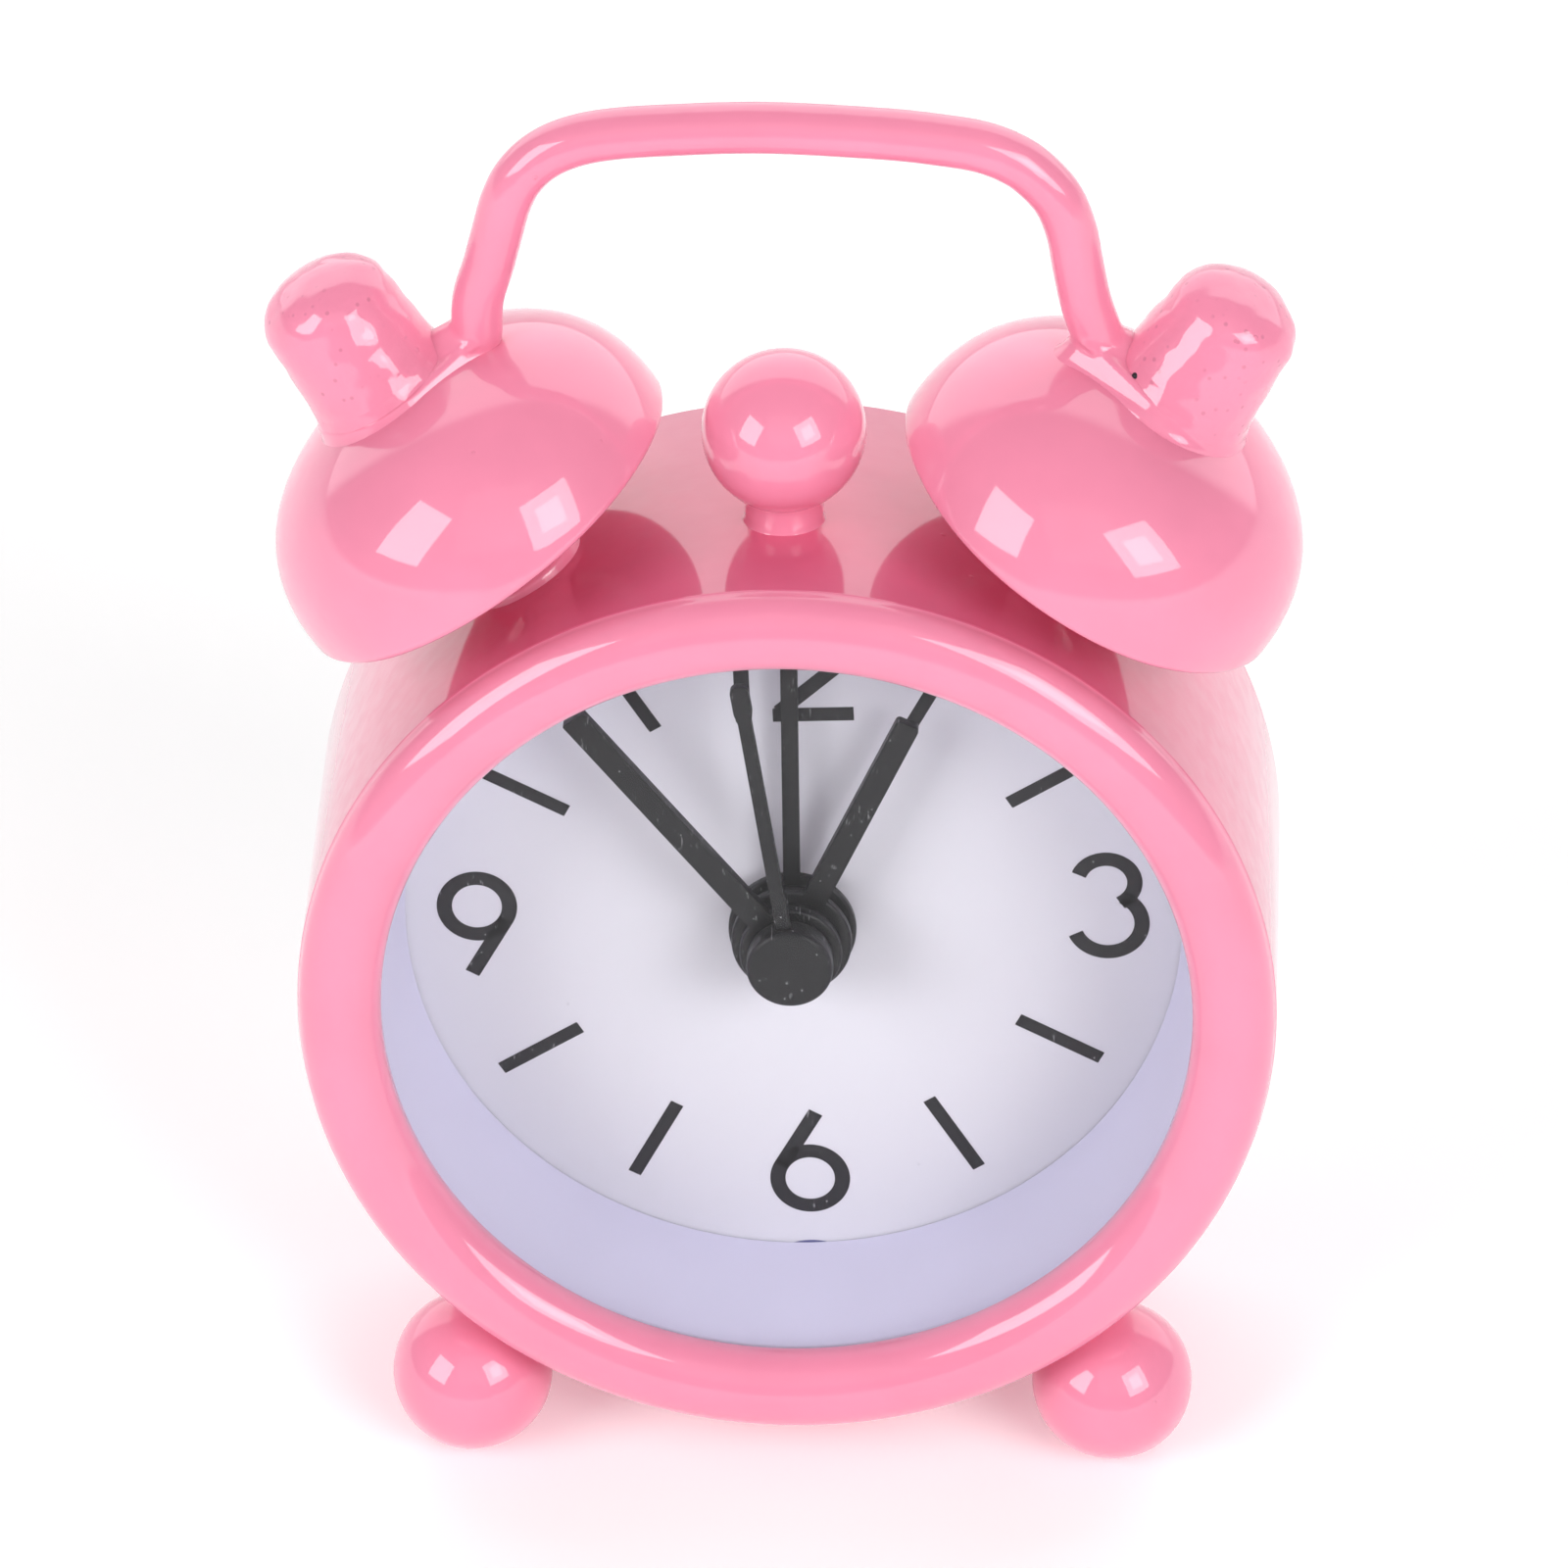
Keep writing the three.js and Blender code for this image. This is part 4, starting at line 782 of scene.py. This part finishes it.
def add_knob(side):
    """A thumb of solder and paint, which tapers to a rounded end and is lumpy all over."""
    end = KNOB_HIGH.z - KNOB_END_HEIGHT
    foot = TAB_HIGH - 0.25
    skirt = rounded([
        (0, foot, 0), (KNOB_RADIUS + 0.16, foot, 0), (KNOB_RADIUS + 0.05, foot + 0.45, 0.3),
        (KNOB_RADIUS, foot + 0.9, 0.3), (KNOB_END_RADIUS, end, 0),
    ], steps=5)
    cap = arc(0, end, KNOB_END_RADIUS, KNOB_END_HEIGHT, 0, 90, 24)
    knob = lathe(resampled(skirt + cap[1:-1] + [(0, KNOB_HIGH.z)], 0.14), 96)
    roughened(knob, 0.1, 3.2, KNOB_SEED[side])
    roughened(knob, 0.045, 0.8, seed=5)
    piece(f"knob_{side}", knob, set_aside(BELL[side], LEFTWARD), "pink_porous", f"bell_knob_{side}")


def add_pinhole_shade():
    """A dark cap of the print's ink colour beside the right knob's foot: painted shade for the pit that a
    bubble left in the paint.
    """
    out = KNOB_RADIUS + 0.02
    hole = lathe(arc(0, 0, PINHOLE_RADIUS, PINHOLE_RADIUS, -90, 90, 8), 16)
    spot = (out * math.cos(PINHOLE_ANGLE), out * math.sin(PINHOLE_ANGLE), TAB_HIGH + 0.2)
    moved(hole, Matrix.Translation(spot))
    # The ink colour here is painted shade, the darkness inside the pit.
    piece("pinhole_painted_shade", hole, set_aside(BELL["right"], LEFTWARD), "ink")


# ---------- handle ----------
# The rod's centre line in X and Z of the drum, from the middle down to each tab. It was bent by hand.
ROD_RADIUS = 1.0
ROD_MIDDLE = (-0.8, 35.35)
ROD_LEFT = [
    (-4.5, 35.19), (-6.8, 34.97), (-8.3, 34.58), (-9.4, 33.95), (-10.2, 33.05), (-10.68, 32.0),
    (-11.0, 30.8), (-11.38, 29.3), (-11.8, 27.85),
]
ROD_RIGHT = [
    (3.6, 35.15), (5.9, 34.9), (7.5, 34.6), (8.8, 34.0), (9.7, 33.2), (10.35, 32.3),
    (10.8, 31.0), (11.04, 29.6), (11.35, 28.0),
]
ROD_END = 4.05  # from the screw to the end of the rod
TAB_RADIUS = 2.98
TAB_LENGTH = 3.85  # from the screw to the middle of the tab's round tip
TAB_TIP_RADIUS = 0.9
# The rings of the tab's edge: how far each lies outside the tab's outline, its height as a share of the way
# up from the bell to the tab's face, and how far it sinks into the bell.
TAB_RINGS = (
    (0.3, 0.0, 0.5), (0.27, 0.0, 0.03), (0.16, 0.1, 0.0), (0.08, 0.35, 0.0), (0.03, 0.72, 0.0),
    (-0.02, 0.92, 0.0), (-0.12, 1.0, 0.0), (-0.8, 1.0, 0.0),
)
# The rings of the web: height above the tab, half width, and where each starts and ends out from the screw.
WEB_RINGS = (
    (-0.3, 1.2, 1.2, 3.9), (0.0, 1.12, 1.2, 3.9), (0.12, 0.95, 1.4, 3.95), (0.3, 0.72, 1.6, 4.05),
    (0.5, 0.5, 1.8, 4.15), (0.72, 0.26, 2.0, 4.3),
)


def rod_end(side):
    """The centre of the rod's end in the drum's frame, on the tab."""
    inward = -1 if side == "right" else 1
    return DRUM.inverted() @ BELL[side] @ Vector((inward * ROD_END, 0, TAB_HIGH - 0.2))


def smooth_path(points, per_span):
    """Points on a Catmull-Rom curve through the given ones."""
    path = []
    padded = [points[0] * 2 - points[1], *points, points[-1] * 2 - points[-2]]
    for a, b, c, d in zip(padded, padded[1:], padded[2:], padded[3:]):
        for i in range(per_span):
            t = i / per_span
            square = (2 * a - 5 * b + 4 * c - d) * t * t
            cube = (3 * b - a - 3 * c + d) * t * t * t
            path.append(0.5 * (2 * b + (c - a) * t + square + cube))
    path.append(points[-1])
    return path


def swept(path, radius):
    """A round rod along a path in the drum's X-Z plane, with rounded ends."""
    sides = 28
    last = len(path) - 1
    end_shares = (0.25, 0.75, 0.97)
    stations = [(0, share) for share in end_shares]
    stations += [(i, 1.0) for i in range(len(path))]
    stations += [(last, share) for share in reversed(end_shares)]
    angles = [2 * math.pi * k / sides for k in range(sides)]
    rings = []
    for order, (i, share) in enumerate(stations):
        tangent = (path[min(i + 1, last)] - path[max(i - 1, 0)]).normalized()
        side = Vector((0, 1, 0))
        normal = side.cross(tangent)
        overrun = math.sqrt(max(0, 1 - share * share)) * radius
        centre = path[i] + tangent * (overrun if order > len(path) / 2 else -overrun)
        rings.append([
            centre + (side * math.cos(a) + normal * math.sin(a)) * radius * share for a in angles
        ])
    return skinned(rings, capped=True)


def teardrop(side, radius, length, tip_radius, start=0.0):
    """A disc drawn out to a smaller round end, which points from the screw to the clock's middle."""
    lean = math.degrees(math.acos((radius - tip_radius) / length))
    body = arc(0, start, radius, radius, 90 + lean, 450 - lean, 40)
    tip = arc(0, start + length, tip_radius, tip_radius, 90 - lean, 90 + lean, 12)
    turn = Matrix.Rotation(math.radians(90 if side == "right" else -90), 4, "Z")
    return [turn @ Vector((x, y, 0)) + Vector((LEFTWARD, 0, 0)) for x, y in body + tip[1:-1]]


def bell_surface(out):
    """Height of a bell's dome at a distance from its axis."""
    share = min(out / BELL_RADIUS, 1)
    return BELL_LOW.z + BELL_HEIGHT * (1 - share ** BELL_POWER) ** (1 / BELL_POWER)


def tab_mesh(side):
    """The flat tab at the rod's end; the paint under it runs out onto the bell."""
    rings = []
    for spread, share, sunk in TAB_RINGS:
        ring = teardrop(side, TAB_RADIUS + spread, TAB_LENGTH, TAB_TIP_RADIUS + spread)
        for point in ring:
            low = bell_surface(math.hypot(point.x, point.y)) - sunk
            point.z = low + (TAB_HIGH - low) * share
        rings.append(ring)
    return skinned(rings, capped=True)


def web_mesh(side):
    """The paint and solder that fill the corner between knob, tab and rod."""
    rings = []
    for height, half, near, far in WEB_RINGS:
        ring = teardrop(side, half, far - near, half * 0.98, start=near)
        for point in ring:
            point.z = TAB_HIGH + height
        rings.append(ring)
    return skinned(rings, capped=True)


def add_handle():
    """A bent rod whose ends lie between bell and knob, webbed together by the paint."""
    ends = {side: rod_end(side) for side in BOTH_SIDES}
    y = ends["right"].y
    left, middle, right = (
        [Vector((x, y, z)) for x, z in points] for points in (ROD_LEFT[::-1], [ROD_MIDDLE], ROD_RIGHT)
    )
    path = smooth_path([ends["left"]] + left + middle + right + [ends["right"]], 12)
    parts = [swept(path, ROD_RADIUS)]
    for side in BOTH_SIDES:
        place = DRUM.inverted() @ BELL[side]
        parts += [moved(tab_mesh(side), place), moved(web_mesh(side), place)]
    handle = piece("carrying_handle", joined(*parts), DRUM, "pink", "handle")
    remeshed(handle, 0.09, 13)


# ---------- dial and print ----------
# The print's own frame: X and Y across and up the dial, Z out of its face towards the viewer.
PRINT = DIAL @ QUARTER_TURN.inverted() @ Matrix.Translation((0, 0, 0.004))
SLOPE_ROOT = 15.2  # inner radius of the sloping ring at the dial
SLOPE_FRONT = 16.2  # and under the bezel
SLOPE_OUTER = 16.6
PILLAR_RADIUS = 0.95
PILLAR_BORE = 0.52
INK_THICKNESS = 0.012
BAR_START = 9.95
BAR_END = 13.65
BAR_WIDTH = 0.54
STROKE = 0.6
FIGURE_HALF = 2.35  # half of a figure's height
THREE_HALF = 2.425  # the 3 stands a little taller
SIX_BOWL = 1.28
# Where the crescent of painted shade for the rim's notch sits.
RIM_NOTCH_SHADE_Z = -15.41


def add_dial_frame():
    """The sloping ring between dial and window, with its pillars behind the dial."""
    low, high = span("dial_frame", TURNED_DIAL)
    rear = -0.04
    parts = [turned([
        (SLOPE_ROOT, rear, 0.05), (SLOPE_FRONT, low.z, 0.12), (SLOPE_OUTER, low.z, 0.1),
        (SLOPE_OUTER, rear, 0.1),
    ], closed=True)]
    for node in BACK_SCREWS:
        middle = DIAL.inverted() @ middle_of(node)
        pillar = lathe(rounded([
            (PILLAR_BORE, rear, 0), (PILLAR_RADIUS, rear, 0), (PILLAR_RADIUS, high.z, 0.1),
            (PILLAR_BORE, high.z, 0), (PILLAR_BORE, high.z - 3, 0),
        ]), 24, closed=True)
        parts.append(moved(pillar, Matrix.Translation((middle.x, -middle.z, 0))))
    piece("dial_slope", joined(*parts), TURNED_DIAL, "slope", "dial_frame")


def add_dial():
    """A thin card with a hole for the arbors."""
    low, high = span("dial", TURNED_DIAL)
    radius = reach("dial", TURNED_DIAL)
    hole = 1.85
    edge = 0.04
    corners = [(hole, low.z, edge), (radius, low.z, edge), (radius, high.z, edge), (hole, high.z, edge)]
    card = turned(corners, closed=True, steps=3)
    piece("dial_card", card, TURNED_DIAL, "dial", "dial")


def stroke(points, width=STROKE):
    """Ink of even width along a line of points, with square ends."""
    left = []
    right = []
    for i, point in enumerate(points):
        ahead = Vector(points[min(i + 1, len(points) - 1)]) - Vector(points[max(i - 1, 0)])
        side = Vector((-ahead.y, ahead.x)).normalized() * width / 2
        left.append(tuple(Vector(point) + side))
        right.append(tuple(Vector(point) - side))
    return extruded(left + right[::-1], 0, INK_THICKNESS)


def hoop(radius, y):
    """A ring of ink about a point of the figure's upright axis."""
    sizes = (radius + STROKE / 2, radius - STROKE / 2)
    outer, hole = (arc(0, y, size, size, 0, 360, 48)[:-1] for size in sizes)
    return extruded(outer, 0, INK_THICKNESS, hole)


def figure_one():
    return [
        stroke([(0, -FIGURE_HALF), (0, FIGURE_HALF)]),
        stroke([(0.05, FIGURE_HALF - 0.25), (-0.75, FIGURE_HALF - 0.75)]),
    ]


def figure_two():
    bowl = 1.22
    line = FIGURE_HALF - STROKE / 2
    head = arc(0, line - bowl, bowl, bowl, 170, -38, 18)
    return [stroke(head + [(-1.35, 0.15 - line)]), stroke([(-1.6, -line), (1.55, -line)])]


def figure_three():
    """Two open bowls that meet at a waist a little above the middle."""
    upper = 1.07
    lower = 1.32
    line = THREE_HALF - STROKE / 2
    head = arc(0, line - upper, upper * 1.05, upper, 160, -62, 20)
    seat = arc(0, lower - line, lower * 1.02, lower, 62, -160, 24)
    return [stroke(head), stroke(seat)]


def figure_six():
    """A round bowl with a straight stem that leaves it on the left."""
    centre = SIX_BOWL + STROKE / 2 - FIGURE_HALF
    leaving = math.radians(152)
    stem_foot = (SIX_BOWL * math.cos(leaving), centre + SIX_BOWL * math.sin(leaving))
    return [hoop(SIX_BOWL, centre), stroke([stem_foot, (0.35, FIGURE_HALF - 0.05)])]


def figure_nine():
    return [moved(part, Matrix.Rotation(math.pi, 4, "Z")) for part in figure_six()]


def printed(figure, x, y):
    """A figure's ink with its middle at x, y on the dial."""
    return moved(joined(*figure), Matrix.Translation((x, y, 0)))


def add_print():
    """Figures at four hours, bars at the others, and a thin bluish crescent at the dial's lower edge,
    painted shade for a notch in the sloping ring.
    """
    figures = {
        "figure_3": [printed(figure_three(), 12.28, 0.2)],
        "figure_9": [printed(figure_nine(), -12.38, -0.08)],
        "figure_6": [printed(figure_six(), 0.12, -11.45)],
        "figure_12": [printed(figure_one(), -1.55, 11.2), printed(figure_two(), 1.2, 11.2)],
    }
    for name, ink in figures.items():
        piece(name, joined(*ink), PRINT, "ink")
    bars = []
    for hour in (1, 2, 4, 5, 7, 8, 10, 11):
        bar = stroke([(0, BAR_START), (0, BAR_END)], BAR_WIDTH)
        bars.append(moved(bar, Matrix.Rotation(-math.radians(30 * hour), 4, "Z")))
    piece("hour_bars", joined(*bars), PRINT, "ink")
    # A thin bluish crescent of painted shade, where the notch in the sloping ring is dark.
    mark = extruded(arc(0, RIM_NOTCH_SHADE_Z, 0.85, 0.27, 0, 180, 12), 0, INK_THICKNESS)
    piece("rim_notch", mark, PRINT, "mark")


# ---------- hands ----------
CAP_RADIUS = 1.69
SECONDS_HALF = 0.28  # half width of the second hand
SECONDS_SPOON = SECONDS_HALF * 1.3  # and of its spoon


def hand_direction(node):
    """Angle of a hand, clockwise from twelve, and its length."""
    points = points_in(node, DIAL)
    length = max(math.hypot(point.x, point.z) for point in points)
    tip = [point for point in points if math.hypot(point.x, point.z) > length - 0.05]
    x = sum(point.x for point in tip) / len(tip)
    z = sum(point.z for point in tip) / len(tip)
    return math.atan2(x, z), length


def add_hand(name, node, body, width, hub, bore, collar=None, tip=0.5, longer=0.0):
    """A moulded hand: a bar on a hub disc, with an optional collar of a radius and height.

    The bar's corners are rounded at the tip by a share of half its width.
    """
    angle, length = hand_direction(node)
    low, high = span(node, PRINT)
    half = width / 2
    start = hub * 0.6
    end = length + longer
    bar = rounded([
        (-half, start, 0), (half, start, 0), (half, end, half * tip), (-half, end, half * tip),
    ], closed=True, steps=4)
    parts = [extruded(bar, low.z, high.z), washer(bore, hub, low.z, high.z, 0.08, 0.12)]
    if collar:
        radius, rise = collar
        parts.append(washer(bore, radius, high.z - 0.1, high.z + rise, 0, 0.1))
    place = PRINT @ Matrix.Rotation(-angle, 4, "Z")
    hand = piece(name, joined(*parts), place, "hand", node, body)
    bevelled(hand, 0.13, segments=1)


def add_second_hand():
    """A slim hand with a rounded spoon tip, under a cap on its own arbor."""
    angle, length = hand_direction("second_hand")
    low, high = span("second_hand", PRINT)
    neck = SECONDS_HALF * 0.95
    right_side = [
        (SECONDS_HALF, 1.0, 0), (neck, length - 1.6, 0.5), (SECONDS_SPOON, length - 1.2, 0.5),
        (SECONDS_SPOON, length, SECONDS_HALF),
    ]
    left_side = [(-x, y, radius) for x, y, radius in reversed(right_side)]
    outline = rounded(left_side[-1:] + right_side + left_side[:-1], closed=True, steps=5)
    bar = extruded(outline, high.z - 0.75, high.z - 0.4)
    cap = turned([
        (0, low.z, 0), (CAP_RADIUS, low.z, 0), (CAP_RADIUS, high.z, 0.22), (0, high.z, 0),
    ], SMALL_SIDES, steps=5)
    place = PRINT @ Matrix.Rotation(-angle, 4, "Z")
    hand = piece("seconds_hand", joined(bar, cap), place, "hand", "second_hand", "seconds")
    bevelled(hand, 0.08)


def add_hands():
    add_hand("alarm_pointer", "alarm_hand", "alarm", width=0.66, hub=2.5, bore=1.7, collar=(2.1, 0.35))
    add_hand(
        "hours_hand", "hour_hand", "hours", width=0.96, hub=2.35, bore=1.32, collar=(1.85, 0.3), tip=0.35,
    )
    add_hand(
        "minutes_hand", "minute_hand", "minutes", width=1.0, hub=2.0, bore=0.94, tip=0.15, longer=0.3,
    )
    add_second_hand()


# ---------- the back ----------
RIM_HEIGHT = 0.18  # of the raised rim round the back cover
DOOR_GAP = 0.12
SLOT_HALF = 0.6  # half height of the switch's slot
SOUND_HOLES = 5
GRIPS = 5
FLUTES = 18
FLUTE_DEPTH = 0.16
KNOB_FOOT = 7.75  # height of the fluted part's foot behind the dial
SCREW_TIP = 0.2
SCREW_SHANK = 0.44


def add_back_cover():
    """The moulded back with a raised rim, an opening for the cell, sound holes and sunk screw seats."""
    low, high = span("back_cover", TURNED_DIAL)
    radius = reach("back_cover", TURNED_DIAL)
    rear = high.z
    face = rear - RIM_HEIGHT
    disc = turned([
        (0, low.z, 0), (radius, low.z, 0), (radius, rear, 0.2), (radius - 1.1, rear, 0.15),
        (radius - 1.3, face, 0.15), (0, face, 0),
    ])
    cover = piece("rear_cover", disc, TURNED_DIAL, "back", "back_cover")
    under = low.z - 1
    over = rear + 1
    cell = arbor("battery_cover")
    cuts = [(shaft(reach("battery_cover", cell) + DOOR_GAP, under, over, 96), cell)]
    seat = low.z + 0.4
    for node in BACK_SCREWS:
        sink = lathe([(0, under), (0.54, under), (0.54, seat), (1.25, seat), (1.25, over), (0, over)], 32)
        cuts.append((sink, arbor(node)))
    cuts += [(shaft(0.62, under, over, 32), arbor(node)) for node in ("time_set_knob", "alarm_set_knob")]
    slider_low, slider_high = span("alarm_switch", DIAL)
    travel = JOINTS["switch_slide"]["range_m"][1] / MM
    x = (slider_low.x + slider_high.x + travel) / 2
    z = (slider_low.z + slider_high.z) / 2
    half = travel / 2 + 0.75
    cuts.append((block((x - half, under, z - SLOT_HALF), (x + half, over, z + SLOT_HALF)), DIAL))
    for i in range(SOUND_HOLES):
        angle = 2 * math.pi * i / SOUND_HOLES
        spot = Matrix.Translation((1.5 * math.cos(angle), 1.5 * math.sin(angle), 0))
        cuts.append((shaft(0.38, under, over, 20), arbor("buzzer") @ spot))
    carved(cover, cuts)
    bevelled(cover, 0.08)
    flattened(cover)


def add_battery_cover():
    """A round cover with a sunk middle, a rim, grip lines and a notch for a fingernail."""
    place = arbor("battery_cover")
    low, high = span("battery_cover", place)
    radius = reach("battery_cover", place)
    disc = turned([
        (0, low.z, 0), (radius, low.z, 0), (radius, high.z, 0.2), (radius - 0.9, high.z, 0.15),
        (radius - 1.1, high.z - 0.2, 0.15), (0, high.z - 0.2, 0),
    ])
    door = piece("battery_door", disc, place, "back", "battery_cover", "battery_door")
    over = high.z + 1
    cuts = [(block((-1.2, -radius - 1, high.z - 0.4), (1.2, -radius + 0.6, over)), place)]
    for i in range(GRIPS):
        y = radius - 2.2 - i * 0.55
        cuts.append((block((-1.6, y, high.z - 0.32), (1.6, y + 0.22, over)), place))
    carved(door, cuts)
    bevelled(door, 0.06)
    flattened(door)


def add_set_knob(name, node):
    """A fluted knob with a chamfered rim and a sunk face, on its stem."""
    place = arbor(node)
    low, high = span(node, place)
    outer = reach(node, place)
    top = high.z
    # Each level's height, and its radius as a share of the knob's; the widest ones are fluted.
    levels = (
        (KNOB_FOOT, 0.96), (KNOB_FOOT + 0.12, 1.0), (top - 0.35, 1.0), (top - 0.12, 0.96), (top, 0.86),
        (top, 0.62), (top - 0.12, 0.58), (top - 0.12, 0.2),
    )
    steps = FLUTES * 8
    angles = [2 * math.pi * i / steps for i in range(steps)]
    rings = []
    for z, share in levels:
        depth = FLUTE_DEPTH if share > 0.9 else 0.0
        radii = [outer * share - depth * (0.5 - 0.5 * math.cos(FLUTES * a)) ** 2 for a in angles]
        rings.append([(radius * math.cos(a), radius * math.sin(a), z) for radius, a in zip(radii, angles)])
    stem = shaft(0.5, low.z, KNOB_FOOT + 0.1, 24)
    piece(name, joined(skinned(rings, capped=True), stem), place, "back", node, name)


def add_switch():
    """A small ribbed slider in its slot."""
    low, high = span("alarm_switch", DIAL)
    cover_rear = span("back_cover", DIAL)[1].y
    x = (low.x + high.x) / 2
    z = (low.z + high.z) / 2
    parts = [
        block((low.x, low.y, low.z), (high.x, low.y + 0.15, high.z)),
        block((x - 0.6, low.y + 0.1, z - 0.45), (x + 0.6, cover_rear + 0.2, z + 0.45)),
        block((x - 1.1, cover_rear + 0.1, z - 1.0), (x + 1.1, high.y - 0.2, z + 1.0)),
    ]
    for i in range(5):
        left = x - 0.95 + i * 0.4
        parts.append(block((left, high.y - 0.25, z - 0.9), (left + 0.2, high.y, z + 0.9)))
    slider = piece("alarm_slider", joined(*parts), DIAL, "switch", "alarm_switch", "switch")
    bevelled(slider, 0.06)


def add_screw(node):
    """A countersunk screw with a cross recess and a slightly domed head."""
    place = arbor(node)
    low, high = span(node, place)
    head = (high.x - low.x) / 2
    seat = high.z - 0.32
    body = turned([
        (0, low.z, 0), (SCREW_TIP, low.z, 0), (SCREW_SHANK, low.z + 0.5, 0.1), (SCREW_SHANK, seat, 0.05),
        (head, seat, 0.05), (head, high.z - 0.06, 0.08), (0, high.z, 0),
    ], 48)
    screw = piece(node.replace("back", "cover"), body, place, "steel", node)
    arms = (head * 0.62, 0.14)
    cross = [
        (block((-x, -y, high.z - 0.22), (x, y, high.z + 0.5)), place) for x, y in (arms, arms[::-1])
    ]
    carved(screw, cross)
    screw.data.set_sharp_from_angle(angle=SHARP_ANGLE)


# ---------- the hidden pieces keep their CAD shape ----------
HIDDEN = {
    "steel": [
        "top_ball_screw", "foot_left_screw", "foot_right_screw", "bell_post_nut_left", "bell_post_nut_right",
        "rotor", "quartz_crystal", "button_cell", "movement_screw_1", "movement_screw_2",
    ],
    "lined_steel": ["stator", "coil_core"],
    "copper": ["coil"],
    "board": ["circuit_board"],
    "brass": ["battery_contact_negative", "battery_contact_positive", "alarm_contact_spring"],
    "grey": ["movement_housing", "middle_plate", "movement_rear_plate", "battery_tray"],
    "natural": [
        "second_wheel", "third_wheel", "intermediate_wheel", "centre_wheel", "cannon_pinion",
        "minute_wheel", "hour_wheel", "alarm_wheel",
    ],
    "switch": ["buzzer"],
}


def dress_hidden():
    for material, nodes in HIDDEN.items():
        for name in nodes:
            node = frame["nodes"][name]
            node.data.materials.clear()
            node.data.materials.append(MATERIALS[material])


# ---------- floor ----------
FLOOR_HALF = 3  # metres
FLOOR_DROP = 0.00002  # metres, so that the floor and the feet don't share a face
FLOOR_GLOW = 0.13


def add_floor():
    """A pale sheet, large enough to fill the view."""
    bm = bmesh.new()
    bmesh.ops.create_grid(bm, x_segments=1, y_segments=1, size=FLOOR_HALF)
    mesh = bpy.data.meshes.new("floor")
    bm.to_mesh(mesh)
    bm.free()
    nodes = look(
        "floor_paper", Roughness=0.9, Specular_IOR_Level=0.1,
        Emission_Color=(1, 1, 1, 1), Emission_Strength=FLOOR_GLOW,
    )
    fibre = nodes.noise(nodes.place(), 0.05, 2.0)
    base = nodes.mix(fibre, (0.95, 0.95, 0.95, 1), (0.97, 0.97, 0.97, 1))
    mesh.materials.append(nodes.finish(Base_Color=base))
    floor = linked("floor", mesh)
    floor.location.z = -FLOOR_DROP


add_camera()
add_lights()
add_floor()
add_case()
add_bezel()
add_window()
add_balls()
for bell_side in BOTH_SIDES:
    add_bell(bell_side)
    add_post(bell_side)
    add_knob(bell_side)
add_pinhole_shade()
add_handle()
add_dial_frame()
add_dial()
add_print()
add_hands()
add_back_cover()
add_battery_cover()
add_set_knob("time_knob", "time_set_knob")
add_set_knob("alarm_knob", "alarm_set_knob")
add_switch()
for screw_node in BACK_SCREWS:
    add_screw(screw_node)
dress_hidden()
